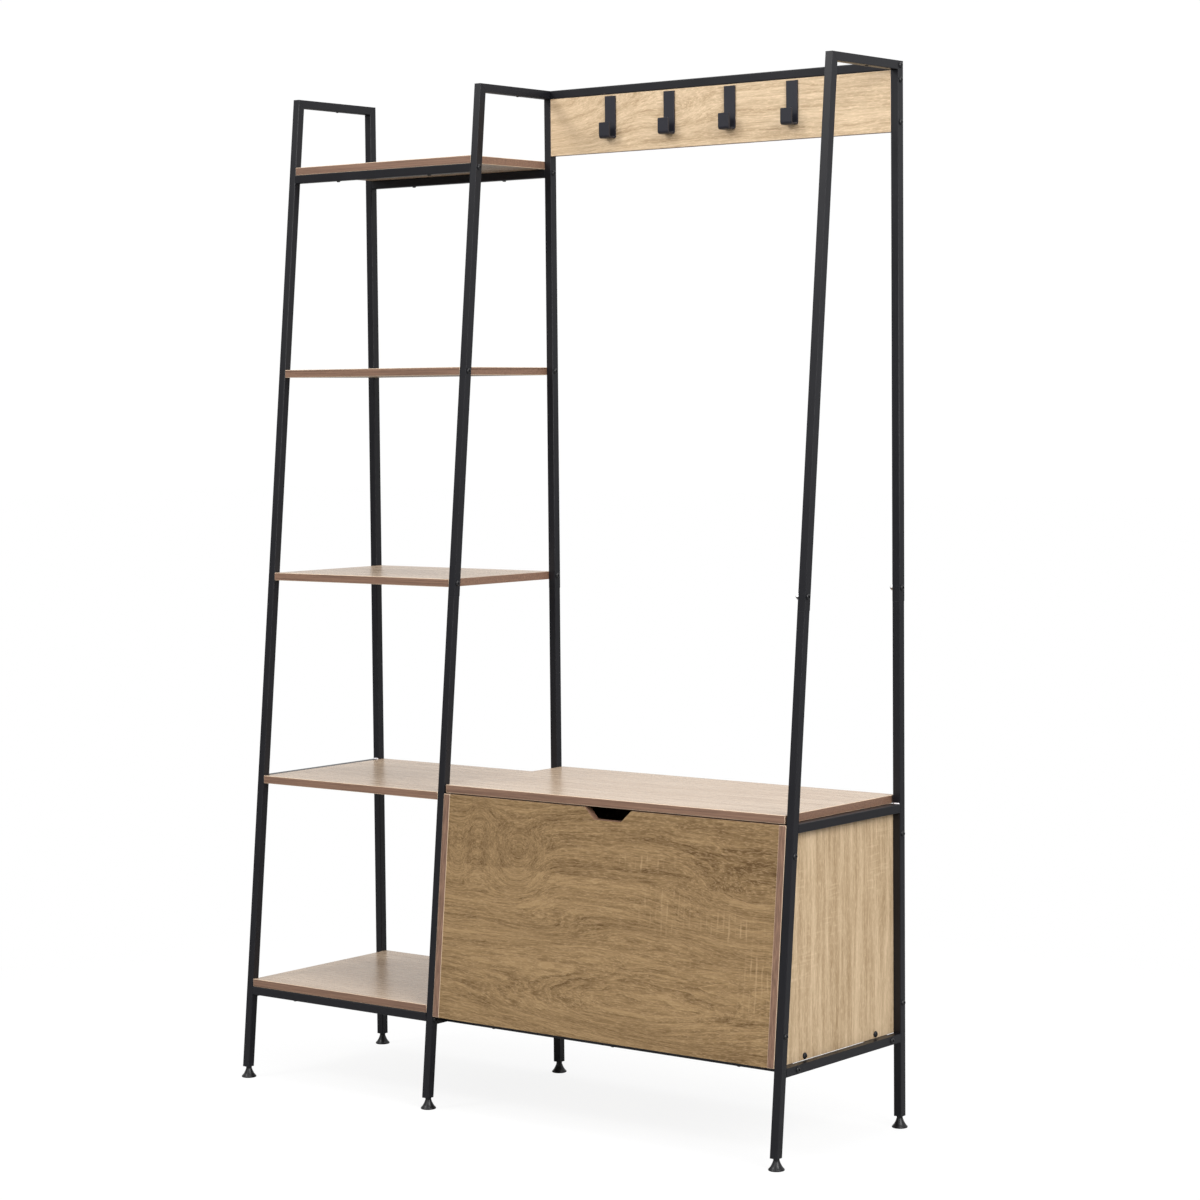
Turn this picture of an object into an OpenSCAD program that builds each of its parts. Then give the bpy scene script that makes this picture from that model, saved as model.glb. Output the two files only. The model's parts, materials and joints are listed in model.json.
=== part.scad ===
// Hall tree: a narrow shelf tower on the left and a bench with a lift-up lid
// and a coat-hook board on the right, carried by three square-tube frames.
// Millimetres, +Z up, front towards -Y, origin at the bottom centre.

/* [Overall] */
// Height to the top of the frames
total_height = 1800; // [1500:5:2000]
// Depth over the frames at the floor
floor_depth = 385; // [320:1:450]
// Clear width of the shelf tower
tower_gap = 425; // [300:5:600]
// Clear width of the bench
bench_gap = 730; // [500:5:900]
// Lean of the front legs, run per unit of rise
lean = 0.0977; // [0.05:0.0001:0.12]

/* [Tube] */
// Outside width of the square tube
tube = 15; // [14:0.5:20]
// Wall thickness of the square tube
wall = 1.2; // [1:0.1:1.5]
// Height of the joint between the lower and upper legs
joint_z = 898; // [890:1:912]
// Length of the sleeve inside each joint
sleeve_len = 100; // [60:5:140]
// Height of the underside of the seat crossbars
seat_bar_z = 540; // [538:0.5:541]
// Height of the underside of the foot crossbars
foot_bar_z = 148; // [140:1:150]
// Thickness of the plates welded into the rail ends
end_plate = 3; // [2:0.5:5]

/* [Boards] */
// Thickness of every board
board = 14; // [13:0.5:15]
// Height of the top face of the bottom shelf
first_shelf = 182; // [178:1:186]
// Rise from one shelf to the next
shelf_pitch = 373; // [372:0.5:374]
// Gap between the rear edges of the shelves and the wall side
shelf_back_gap = 1; // [0:0.5:3]
// Height of the hook board
hook_board_h = 102; // [90:1:120]

/* [Bench box] */
// Height of the lower edge of the box
box_z0 = 163; // [163:0.5:165]
// Height of the upper edge of the box
box_z1 = 553; // [551:0.5:553]
// Height of the underside of the lid
lid_z = 555; // [555:0.5:557]
// Gap between each lid end and its frame
lid_end_gap = 3.5; // [2:0.5:6]
// Setback of the box and lid from the rear faces of the rear legs
box_back = 1.5; // [1.5:0.1:3]
// Setback of the front panel from the front faces of the legs
panel_recess = 0.5; // [0:0.1:2]
// Width of the finger notch at the top
notch_top = 99; // [80:1:120]
// Width of the finger notch at the bottom
notch_low = 57.5; // [40:0.5:70]
// Depth of the finger notch
notch_deep = 20; // [12:1:30]
// Radius of the lower corners of the finger notch
notch_r = 3; // [1:0.5:6]

/* [Hooks] */
// Width of the hook strap
hook_w = 23; // [16:1:30]
// Thickness of the hook strap
hook_t = 3; // [2:0.5:4]
// Reach of the hook tip from the board
hook_reach = 21; // [15:1:35]
// Height of the lowest point of the hooks
hook_z0 = 1706; // [1700:1:1710]
// Height of the top of the hook straps
hook_z1 = 1781.5; // [1770:0.5:1783]
// Height of the turned-up hook tip
hook_tip = 28; // [15:1:40]
// Distance from the middle frame to the first hook centre
hook_first = 139; // [60:1:160]
// Spacing between hook centres
hook_pitch = 131; // [80:1:160]

/* [Hinges] */
// Length of one hinge
hinge_len = 60; // [45:1:90]
// Distance of each hinge centre from the bench centre
hinge_off = 230; // [120:5:300]
// Radius of the hinge barrel
barrel_r = 3; // [2.5:0.1:3.2]
// Radius of the hinge pin
pin_r = 1.5; // [1:0.1:1.8]
// Thickness of the hinge leaves
leaf_t = 1.5; // [1:0.1:1.5]
// Distance from the rear faces of the rear legs back to the hinge axis
hinge_back = 1.8; // [1.8:0.1:2.5]

/* [Feet] */
// Height of the tube ends above the floor
tube_z0 = 20; // [18:1:26]
// Radius of the foot flange
flange_r = 13.5; // [10:0.5:16]
// Radius of the threaded foot stem
stem_r = 3; // [2.5:0.5:4]
// Height of the top of the stem with the foot wound in
stem_top = 48; // [40:1:60]

/* [Fasteners] */
// Radius of the frame bolt shank
bolt_r = 2.9; // [2.4:0.1:3]
// Radius of the frame bolt head
head_r = 5; // [4.5:0.1:5.2]
// Height of the frame bolt head
head_h = 3; // [2:0.1:3.5]
// Radius of the wood screw shank
screw_r = 1.75; // [1.5:0.05:2]

/* [Hidden] */
$fn = 48;
eps = 1;
fit = 0.05;
clear_r = bolt_r + 0.3;
thread_r = bolt_r + fit;
insert_r = 4.5;
insert_len = 12;
bore_len = 16;
nut_h = 5;
nut_af = 10;
leg_y = tube * sqrt(1 + lean * lean);
wall_y = wall * sqrt(1 + lean * lean);
board_y = board * sqrt(1 + lean * lean);

overall = tower_gap + bench_gap + 3 * tube;
x_left = -overall / 2;
x_mid = x_left + tube + tower_gap;
x_right = overall / 2 - tube;
tower_x0 = x_left + tube;
bench_x0 = x_mid + tube;
bench_x1 = x_right;
bench_cx = (bench_x0 + bench_x1) / 2;

function front_y(z) = -floor_depth + lean * z;
function leg_mid(z) = front_y(z) + leg_y / 2;
function shelf_top(i) = first_shelf + i * shelf_pitch;

rear_mid = -tube / 2;
foot_zc = 34;
foot_front = leg_mid(foot_zc);
back_y = (-(foot_front - flange_r) - (rear_mid + flange_r)) / 2;

z_tower_low = box_z0 - end_plate - head_r + 2.5;
z_tower_rail = first_shelf - board - tube;
z_upper = shelf_top(3) - board / 2;
z_joint_bolt = shelf_top(2) - board / 2;
z_seat_bolt = seat_bar_z + tube / 2 - 0.5;
z_top_rail = shelf_top(4) - board - tube;
z_hook_rail = total_height - tube;
z_bench_bolt = foot_bar_z + tube / 2;
z_panel_hi = 504;
z_panel_lo = 215;
hook_board_z1 = z_hook_rail - 0.5;
hook_board_zc = hook_board_z1 - hook_board_h / 2;
hook_bolt_off = 35;
seat_bolt_y = [-270, -60];
bench_rail_y = [-322.5, -42];
panel_screw_y = [-282, -71.5];
rail_screw_in = 102;
bumper_y = [-300, -100];
bumper_r = 4;
stand_off = 1.7;
len_rail = 24;
len_board = 30;
len_panel = 45;
len_joint = 22;
hook_x = [for (i = [0:3]) bench_x0 + hook_first + i * hook_pitch];
hinge_x = [bench_cx - hinge_off, bench_cx + hinge_off];
hinge_z = (box_z1 + lid_z) / 2;
leaf_bottom = hinge_z - 21;
leaf_edge = 3.5;
leaf_top = lid_z + board - 0.5;
leaf_screw_x = 20;
leaf_screw_lo = hinge_z - 13;
leaf_screw_hi = hinge_z + 9;
leaf_screw_r = 1.5;
hook_screw_z = [hook_z0 + 19, hook_z1 - 16];
hook_screw_r = 1.9;
hook_bend = 5;
hook_hole = 2.4;
tip_round = 2;
pan_r = 3.6;
pan_h = 2.2;
side_head_r = 5.3;
side_head_h = 3.2;
up_screw = tube + 9;
up_pilot = 9.5;
side_screw = 40;
side_pilot = 27;
leaf_screw = 12;
leaf_pilot = 11;
leaf_head_r = 2.8;
leaf_head_h = 1.2;
bumper_stem = 8;
bumper_stem_r = 1.5;
foot_ease = 0.6;
flange_h = 3;
skirt_r = 7;
skirt_z = 5.5;
neck_r = 5;
neck_z = 8;
foot_gap = 0.3;
socket_len = 30;
inner_gap = 0.1;
sleeve_wall = 1.5;
key_r = 2.1;
key_deep = 2;

black = [0.09, 0.09, 0.10];
steel = [0.60, 0.61, 0.63];
oak = [0.80, 0.68, 0.54];
oak_front = [0.72, 0.55, 0.36];
rubber = [0.12, 0.12, 0.12];

// One sub-part to draw, or all of them

// ---- shared placing and drilling ----

// Moves work drawn with the rear leg faces at y = 0 into the part's own frame
module place() translate([0, back_y, 0]) children();

// Extrudes a side-view outline, drawn as (y, z) points, along X
module side_run(x0, width) translate([x0, 0, 0]) rotate([90, 0, 90])
  linear_extrude(height = width) children();

// Straight hole or rod along X from x0, towards +X for a positive length
module x_rod(x0, y, z, r, len) translate([min(x0, x0 + len), y, z])
  rotate([0, 90, 0]) cylinder(r = r, h = abs(len));

// Straight hole or rod along Y, and along Z
module y_rod(x, y0, z, r, len) translate([x, y0 + len, z])
  rotate([90, 0, 0]) cylinder(r = r, h = len);
module z_rod(x, y, z0, r, len) translate([x, y, z0]) cylinder(r = r, h = len);

// ---- frames ----

module front_outline(z0, z1, inset = 0) polygon([
  [front_y(z0) + inset, z0], [front_y(z0) + leg_y - inset, z0],
  [front_y(z1) + leg_y - inset, z1], [front_y(z1) + inset, z1]]);

module rear_outline(z0, z1, inset = 0) polygon([
  [-tube + inset, z0], [-inset, z0], [-inset, z1], [-tube + inset, z1]]);

// Bolt heights on the legs of each frame, lower and upper sections
lower_z = [[z_tower_low], [z_tower_low, z_panel_lo, z_panel_hi], [z_panel_lo, z_panel_hi]];
upper_z = [[z_joint_bolt, z_upper, z_top_rail + tube / 2],
  [z_joint_bolt, z_upper, z_top_rail + tube / 2], [z_joint_bolt]];
frame_x = [x_left, x_mid, x_right];
bench_side = [false, true, true];

module leg_holes(x0, zs, front) for (z = zs)
  x_rod(x0 - eps, front ? leg_mid(z) : rear_mid, z, clear_r, tube + 2 * eps);

module front_leg_lower(f) color(black) place() difference() {
  side_run(frame_x[f], tube) front_outline(tube_z0, joint_z);
  side_run(frame_x[f] + wall, tube - 2 * wall)
    front_outline(tube_z0 - eps, joint_z + eps, wall_y);
  leg_holes(frame_x[f], lower_z[f], true);
}

module rear_leg_lower(f) color(black) place() difference() {
  side_run(frame_x[f], tube) rear_outline(tube_z0, joint_z);
  side_run(frame_x[f] + wall, tube - 2 * wall)
    rear_outline(tube_z0 - eps, joint_z + eps, wall);
  leg_holes(frame_x[f], lower_z[f], false);
}

module front_leg_upper(f) color(black) place() difference() {
  side_run(frame_x[f], tube) polygon([
    [front_y(joint_z), joint_z], [front_y(joint_z) + leg_y, joint_z],
    [front_y(total_height - tube) + leg_y, total_height - tube],
    [front_y(total_height), total_height]]);
  side_run(frame_x[f] + wall, tube - 2 * wall)
    front_outline(joint_z - eps, total_height + eps, wall_y);
  leg_holes(frame_x[f], upper_z[f], true);
}

module rear_leg_upper(f) color(black) place() difference() {
  side_run(frame_x[f], tube) polygon([[-tube, joint_z], [0, joint_z],
    [0, total_height], [-tube, total_height - tube]]);
  side_run(frame_x[f] + wall, tube - 2 * wall)
    rear_outline(joint_z - eps, total_height + eps, wall);
  leg_holes(frame_x[f], upper_z[f], false);
  if (bench_side[f]) hook_side_holes(f);
}

module hook_side_holes(f) {
  for (s = [-1, 1]) x_rod(frame_x[f] - eps, rear_mid,
    hook_board_zc + s * hook_bolt_off, clear_r, tube + 2 * eps);
  x_rod(frame_x[f] - eps, rear_mid, total_height - tube / 2, clear_r, tube + 2 * eps);
}

module top_bar(f) color(black) place() difference() {
  side_run(frame_x[f], tube) polygon([
    [front_y(total_height), total_height],
    [front_y(total_height - tube) + leg_y, total_height - tube],
    [-tube, total_height - tube], [0, total_height]]);
  side_run(frame_x[f] + wall, tube - 2 * wall) polygon([
    [-floor_depth, total_height - tube + wall], [tube, total_height - tube + wall],
    [tube, total_height - wall], [-floor_depth, total_height - wall]]);
  if (bench_side[f]) hook_side_holes(f);
}

module crossbar(f, z0, ys, z_hole) color(black) place() difference() {
  side_run(frame_x[f], tube) polygon([[front_y(z0) + leg_y, z0], [-tube, z0],
    [-tube, z0 + tube], [front_y(z0 + tube) + leg_y, z0 + tube]]);
  side_run(frame_x[f] + wall, tube - 2 * wall) polygon([
    [-floor_depth, z0 + wall], [0, z0 + wall],
    [0, z0 + tube - wall], [-floor_depth, z0 + tube - wall]]);
  for (y = ys) x_rod(frame_x[f] - eps, y, z_hole, clear_r, tube + 2 * eps);
}

module seat_crossbar(f) crossbar(f, seat_bar_z, f < 2 ? seat_bolt_y : [], z_seat_bolt);
module foot_crossbar(f) crossbar(f, foot_bar_z, f > 0 ? bench_rail_y : [], z_bench_bolt);

// ---- rails: closed at both ends by welded plates with a threaded hole ----

module rail(x0, x1, yc, z0, z_bolt, screw_x = []) color(black) place() difference() {
  translate([x0, yc - tube / 2, z0]) cube([x1 - x0, tube, tube]);
  translate([x0 + end_plate, yc - tube / 2 + wall, z0 + wall])
    cube([x1 - x0 - 2 * end_plate, tube - 2 * wall, tube - 2 * wall]);
  x_rod(x0 - eps, yc, z_bolt, thread_r, end_plate + 2 * eps);
  x_rod(x1 + eps, yc, z_bolt, thread_r, -end_plate - 2 * eps);
  for (x = screw_x) z_rod(x, yc, z0 - eps, screw_r + 0.3, tube + 2 * eps);
}

tower_screw_x = [tower_x0 + rail_screw_in, x_mid - rail_screw_in];
bench_screw_x = [bench_x0 + rail_screw_in, bench_cx, bench_x1 - rail_screw_in];

module tower_top_rail(yc) rail(tower_x0, x_mid, yc, z_top_rail,
  z_top_rail + tube / 2, tower_screw_x);
module tower_bottom_rail(yc) rail(tower_x0, x_mid, yc, z_tower_rail,
  z_tower_low, tower_screw_x);
module bench_rail(yc) rail(bench_x0, bench_x1, yc, foot_bar_z, z_bench_bolt,
  bench_screw_x);

// ---- boards ----

// Blind bore for a threaded insert with clearance for the bolt end behind it
module insert_bore(x0, y, z, dir) {
  x_rod(x0 - dir * eps, y, z, insert_r + fit, dir * (insert_len + eps));
  x_rod(x0, y, z, clear_r, dir * bore_len);
}

module shelf_blank(z_top) translate([tower_x0, front_y(z_top), z_top - board])
  cube([tower_gap, -shelf_back_gap - front_y(z_top), board]);

module rail_shelf(z_top, yf) color(oak) place() difference() {
  shelf_blank(z_top);
  for (x = tower_screw_x, y = [yf, rear_mid])
    z_rod(x, y, z_top - board - eps, screw_r + fit, up_pilot + eps);
}

module bolted_shelf(z_top, z_hole, ys) color(oak) place() difference() {
  shelf_blank(z_top);
  for (y = ys) {
    insert_bore(tower_x0, y, z_hole, 1);
    insert_bore(x_mid, y, z_hole, -1);
  }
}

module side_panel(x0, is_left) color(oak) place() difference() {
  side_run(x0, board) polygon([[front_y(box_z0), box_z0], [-box_back, box_z0],
    [-box_back, box_z1], [front_y(box_z1), box_z1]]);
  for (z = [z_panel_lo, z_panel_hi], y = [leg_mid(z), rear_mid])
    x_rod(x0 - eps, y, z, clear_r, board + 2 * eps);
  if (is_left) for (y = seat_bolt_y)
    x_rod(x0 - eps, y, z_seat_bolt, clear_r, board + 2 * eps);
  for (y = panel_screw_y) x_rod(x0 - eps, y, box_z0 + board / 2,
    screw_r + fit, board + 2 * eps);
  for (y = bumper_y) z_rod(x0 + board / 2, y, box_z1 - bumper_stem,
    bumper_stem_r + fit, bumper_stem + eps);
}

panel_x0 = bench_x0 + board;
panel_x1 = bench_x1 - board;
panel_front = panel_recess;
panel_rear = panel_recess + board_y;

module notch_outline() {
  half_low = notch_low / 2;
  half_top = notch_top / 2;
  reach = half_top - half_low;
  turn = atan2(notch_deep, reach);
  // the arc that rounds a lower corner starts below the flank and ends on the base
  cx = half_low - notch_r * tan(turn / 2);
  arc = [for (a = [0:5]) let (t = -90 + turn * a / 5)
    [cx + notch_r * cos(t), -notch_deep + notch_r + notch_r * sin(t)]];
  right = concat(arc, [[half_top, 0], [half_top, 2 * eps]]);
  left = [for (i = [len(right) - 1:-1:0]) [-right[i][0], right[i][1]]];
  polygon(concat(right, left));
}

module front_panel() color(oak_front) place() difference() {
  side_run(panel_x0, panel_x1 - panel_x0) polygon([
    [front_y(box_z0) + panel_front, box_z0], [front_y(box_z0) + panel_rear, box_z0],
    [front_y(box_z1) + panel_rear, box_z1], [front_y(box_z1) + panel_front, box_z1]]);
  for (z = [z_panel_lo, z_panel_hi]) {
    insert_bore(panel_x0, leg_mid(z), z, 1);
    insert_bore(panel_x1, leg_mid(z), z, -1);
  }
  translate([bench_cx, front_y(box_z1) + 2 * board, box_z1]) rotate([90, 0, 0])
    linear_extrude(height = 3 * board) notch_outline();
}

module back_panel() color(oak) place() difference() {
  translate([panel_x0, -box_back - board, box_z0])
    cube([panel_x1 - panel_x0, board, box_z1 - box_z0]);
  for (z = [z_panel_lo, z_panel_hi]) {
    insert_bore(panel_x0, rear_mid, z, 1);
    insert_bore(panel_x1, rear_mid, z, -1);
  }
  for (h = hinge_x, s = [-1, 1]) y_rod(h + s * leaf_screw_x, -box_back - leaf_pilot,
    leaf_screw_lo, leaf_screw_r + fit, leaf_pilot + eps);
}

module bottom_panel() color(oak) place() difference() {
  y0 = front_y(box_z0 + board) + panel_rear + 0.2;
  translate([panel_x0, y0, box_z0])
    cube([panel_x1 - panel_x0, -box_back - board - y0, board]);
  for (y = panel_screw_y) {
    x_rod(panel_x0 - eps, y, box_z0 + board / 2, screw_r + fit, side_pilot + eps);
    x_rod(panel_x1 + eps, y, box_z0 + board / 2, screw_r + fit, -side_pilot - eps);
  }
  for (x = bench_screw_x, y = bench_rail_y)
    z_rod(x, y, box_z0 - eps, screw_r + fit, up_pilot + eps);
}

module seat_lid() color(oak) place() difference() {
  y0 = front_y(lid_z + board);
  translate([bench_x0 + lid_end_gap, y0, lid_z])
    cube([bench_gap - 2 * lid_end_gap, -box_back - y0, board]);
  for (h = hinge_x, s = [-1, 1]) y_rod(h + s * leaf_screw_x, -box_back - leaf_pilot,
    leaf_screw_hi, leaf_screw_r + fit, leaf_pilot + eps);
}

module hook_board() color(oak) place() difference() {
  translate([bench_x0, -tube, hook_board_z1 - hook_board_h])
    cube([bench_gap, board, hook_board_h]);
  for (s = [-1, 1]) {
    insert_bore(bench_x0, rear_mid, hook_board_zc + s * hook_bolt_off, 1);
    insert_bore(bench_x1, rear_mid, hook_board_zc + s * hook_bolt_off, -1);
  }
  for (x = hook_x, z = hook_screw_z)
    y_rod(x, -tube - eps, z, hook_screw_r + 0.3, board + 2 * eps);
}

// ---- hooks: one bent strap each, fixed by two screws from behind ----

module hook_profile() {
  tip_y = -tube - hook_reach;
  difference() {
    union() {
      translate([-tube - hook_t, hook_z0 + hook_bend])
        square([hook_t, hook_z1 - hook_z0 - hook_bend]);
      translate([tip_y, hook_z0 + hook_bend]) square([hook_t, hook_tip - hook_bend]);
      translate([tip_y + hook_bend, hook_z0])
        square([hook_reach - 2 * hook_bend, hook_t]);
      for (y = [tip_y + hook_bend, -tube - hook_bend]) intersection() {
        translate([y, hook_z0 + hook_bend]) circle(r = hook_bend);
        translate([y < -tube - hook_reach / 2 ? y - hook_bend : y, hook_z0])
          square(hook_bend);
      }
    }
    for (y = [tip_y + hook_bend, -tube - hook_bend])
      translate([y, hook_z0 + hook_bend]) circle(r = hook_bend - hook_t);
  }
}

// Front-view outline with rounded corners, used to trim the hook ends
module round_ends(w, z0, z1, r) {
  for (x = [-w / 2 + r, w / 2 - r], z = [z0 + r, z1 - r])
    translate([x, z]) circle(r = r);
  translate([-w / 2, z0 + r]) square([w, z1 - z0 - 2 * r]);
  translate([-w / 2 + r, z0]) square([w - 2 * r, z1 - z0]);
}

module hook(i) color(black) place() difference() {
  side_run(hook_x[i] - hook_w / 2, hook_w) hook_profile();
  // the tip has rounded corners
  translate([hook_x[i], -tube - hook_t - 2 * eps, 0]) rotate([90, 0, 0])
    linear_extrude(height = hook_reach + eps) difference() {
      translate([-hook_w, hook_z0 + hook_tip - tip_round])
        square([2 * hook_w, tip_round + 2 * eps]);
      round_ends(hook_w, hook_z0 - eps, hook_z0 + hook_tip, tip_round);
    }
  for (z = hook_screw_z)
    y_rod(hook_x[i], -tube - hook_hole, z, hook_screw_r + fit, hook_hole + eps);
}

// ---- hinges ----

seg = hinge_len / 3;
gap = 0.4;

// One leaf of a hinge; the knuckles it carries are numbered 0 to 2 along X
module leaf(xc, up, knuckles) {
  near = up ? hinge_z + leaf_edge : leaf_bottom;
  far = up ? leaf_top : hinge_z - leaf_edge;
  screw_z = up ? leaf_screw_hi : leaf_screw_lo;
  difference() {
    union() {
      translate([xc - hinge_len / 2, -box_back, near]) cube([hinge_len, leaf_t, far - near]);
      for (k = knuckles) {
        x0 = xc - hinge_len / 2 + k * seg + (k == 0 ? 0 : gap / 2);
        len = seg - (k == 1 ? gap : gap / 2);
        x_rod(x0, hinge_back, hinge_z, barrel_r, len);
        translate([x0, -box_back, up ? hinge_z : hinge_z - leaf_edge - eps])
          cube([len, leaf_t, leaf_edge + eps]);
      }
    }
    x_rod(xc - hinge_len, hinge_back, hinge_z, pin_r + fit, 2 * hinge_len);
    for (s = [-1, 1]) y_rod(xc + s * leaf_screw_x, -box_back - eps, screw_z,
      leaf_screw_r + fit, leaf_t + 2 * eps);
  }
}

module hinge_fixed_leaves() color(steel) place() for (h = hinge_x) leaf(h, false, [0, 2]);
module hinge_lid_leaves() color(steel) place() for (h = hinge_x) leaf(h, true, [1]);
module hinge_pins() color(steel) place() for (h = hinge_x)
  x_rod(h - hinge_len / 2, hinge_back, hinge_z, pin_r, hinge_len);

// ---- feet ----

module foot(f, front) color(black) place()
  translate([frame_x[f] + tube / 2, front ? foot_front : rear_mid, 0])
  rotate_extrude() polygon([[0, 0], [flange_r - foot_ease, 0], [flange_r, foot_ease],
    [flange_r, flange_h - foot_ease], [flange_r - foot_ease, flange_h],
    [skirt_r, skirt_z], [neck_r, neck_z], [neck_r, tube_z0 - foot_gap],
    [stem_r, tube_z0 - foot_gap], [stem_r, stem_top - foot_ease],
    [stem_r - foot_ease, stem_top], [0, stem_top]]);

module foot_sockets() color(rubber) place() for (f = [0:2], front = [true, false])
  difference() {
    side_run(frame_x[f] + wall + inner_gap, tube - 2 * wall - 2 * inner_gap)
      if (front) front_outline(tube_z0, tube_z0 + socket_len, wall_y + inner_gap);
      else rear_outline(tube_z0, tube_z0 + socket_len, wall + inner_gap);
    z_rod(frame_x[f] + tube / 2, front ? foot_front : rear_mid, tube_z0 - eps,
      stem_r + fit, socket_len + 2 * eps);
  }

// ---- sleeves in the leg joints ----

module leg_sleeves() color(steel) place() for (f = [0:2], front = [true, false])
  difference() {
    lo = joint_z - sleeve_len / 2;
    hi = joint_z + sleeve_len / 2;
    bore = inner_gap + sleeve_wall;
    side_run(frame_x[f] + wall + inner_gap, tube - 2 * wall - 2 * inner_gap)
      if (front) front_outline(lo, hi, wall_y + inner_gap);
      else rear_outline(lo, hi, wall + inner_gap);
    side_run(frame_x[f] + wall + bore, tube - 2 * wall - 2 * bore)
      if (front) front_outline(lo - eps, hi + eps, wall_y + bore);
      else rear_outline(lo - eps, hi + eps, wall + bore);
    leg_holes(frame_x[f], [z_joint_bolt], front);
  }

// ---- fasteners ----

// Button-head bolt: the head's seat is at the origin, the shank runs along +Z
module bolt(len) {
  difference() {
    union() {
      cylinder(r = bolt_r, h = len);
      rotate_extrude() polygon([[0, -head_h], [head_r * 0.52, -head_h],
        [head_r * 0.72, -head_h * 0.83], [head_r * 0.9, -head_h * 0.57],
        [head_r, -head_h * 0.23], [head_r, 0], [0, 0]]);
    }
    translate([0, 0, -head_h - eps]) cylinder(r = key_r, h = key_deep + eps, $fn = 6);
  }
}

// Pan-head screw, same stance as the bolt
module screw(r, len, hr, hh) {
  cylinder(r = r, h = len);
  rotate_extrude() polygon([[0, -hh], [hr * 0.55, -hh], [hr * 0.85, -hh * 0.7],
    [hr, -hh * 0.25], [hr, 0], [0, 0]]);
}

module x_bolt(x, y, z, dir, len) translate([x, y, z]) rotate([0, dir * 90, 0]) bolt(len);

module frame_bolts() color(black) place() {
  z_tr = z_top_rail + tube / 2;
  out_mid = x_mid + tube;
  out_right = x_right + tube;
  for (front = [true, false]) {
    y_at = function(z) front ? leg_mid(z) : rear_mid;
    for (p = [[z_tr, len_rail], [z_upper, len_board], [z_joint_bolt, len_board],
        [z_tower_low, len_rail]]) {
      x_bolt(x_left, y_at(p[0]), p[0], 1, p[1]);
      x_bolt(out_mid, y_at(p[0]), p[0], -1, p[1]);
    }
    for (z = [z_panel_lo, z_panel_hi]) {
      x_bolt(x_mid, y_at(z), z, 1, len_panel);
      x_bolt(out_right, y_at(z), z, -1, len_panel);
    }
    x_bolt(out_right, y_at(z_joint_bolt), z_joint_bolt, -1, len_joint);
    translate([x_right, y_at(z_joint_bolt), z_joint_bolt]) rotate([0, -90, 0])
      difference() {
        cylinder(r = nut_af / sqrt(3), h = nut_h, $fn = 6);
        translate([0, 0, -eps]) cylinder(r = thread_r, h = nut_h + 2 * eps);
      }
  }
  for (y = seat_bolt_y) {
    x_bolt(x_left, y, z_seat_bolt, 1, len_board);
    x_bolt(out_mid + board, y, z_seat_bolt, -1, len_panel);
  }
  for (y = bench_rail_y) {
    x_bolt(x_mid, y, z_bench_bolt, 1, len_rail);
    x_bolt(out_right, y, z_bench_bolt, -1, len_rail);
  }
  for (z = [hook_board_zc - hook_bolt_off, hook_board_zc + hook_bolt_off]) {
    x_bolt(x_mid, rear_mid, z, 1, len_board);
    x_bolt(out_right, rear_mid, z, -1, len_board);
  }
  x_bolt(x_mid, rear_mid, total_height - tube / 2, 1, len_rail);
  x_bolt(out_right, rear_mid, total_height - tube / 2, -1, len_rail);
  for (y = panel_screw_y) {
    translate([bench_x0, y, box_z0 + board / 2]) rotate([0, 90, 0])
      screw(screw_r, side_screw, side_head_r, side_head_h);
    translate([bench_x1, y, box_z0 + board / 2]) rotate([0, -90, 0])
      screw(screw_r, side_screw, side_head_r, side_head_h);
  }
}

module insert(x, y, z, dir) difference() {
  x_rod(x, y, z, insert_r, dir * insert_len);
  x_rod(x - dir * eps, y, z, thread_r, dir * (insert_len + 2 * eps));
}

module insert_pair(x0, x1, y, z) {
  insert(x0, y, z, 1);
  insert(x1, y, z, -1);
}

module threaded_inserts() color(steel) place() {
  for (z = [z_upper, z_joint_bolt], y = [leg_mid(z), rear_mid])
    insert_pair(tower_x0, x_mid, y, z);
  for (y = seat_bolt_y) insert_pair(tower_x0, x_mid, y, z_seat_bolt);
  for (z = [z_panel_lo, z_panel_hi], y = [leg_mid(z), rear_mid])
    insert_pair(panel_x0, panel_x1, y, z);
  for (s = [-1, 1])
    insert_pair(bench_x0, bench_x1, rear_mid, hook_board_zc + s * hook_bolt_off);
}

module small_screws() color(steel) place() {
  for (x = tower_screw_x) {
    for (y = [leg_mid(z_top_rail + tube / 2), rear_mid])
      translate([x, y, z_top_rail]) screw(screw_r, up_screw, pan_r, pan_h);
    for (y = [leg_mid(z_tower_low), rear_mid])
      translate([x, y, z_tower_rail]) screw(screw_r, up_screw, pan_r, pan_h);
  }
  for (x = bench_screw_x, y = bench_rail_y)
    translate([x, y, foot_bar_z]) screw(screw_r, up_screw, pan_r, pan_h);
  for (x = hook_x, z = hook_screw_z) translate([x, -tube + board, z])
    rotate([90, 0, 0]) screw(hook_screw_r, board + hook_hole - 0.2, pan_r, pan_h);
  for (h = hinge_x, s = [-1, 1])
    translate([h + s * leaf_screw_x, -box_back + leaf_t, leaf_screw_lo])
      rotate([90, 0, 0]) screw(leaf_screw_r, leaf_screw, leaf_head_r, leaf_head_h);
}

module lid_hinge_screws() color(steel) place() for (h = hinge_x, s = [-1, 1])
  translate([h + s * leaf_screw_x, -box_back + leaf_t, leaf_screw_hi])
    rotate([90, 0, 0]) screw(leaf_screw_r, leaf_screw, leaf_head_r, leaf_head_h);

module lid_bumpers() color(rubber) place()
  for (x = [bench_x0 + board / 2, bench_x1 - board / 2], y = bumper_y) {
    z_rod(x, y, box_z1 - bumper_stem, bumper_stem_r, bumper_stem + eps);
    z_rod(x, y, box_z1, bumper_r, stand_off);
  }

// ---- placing ----

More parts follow.
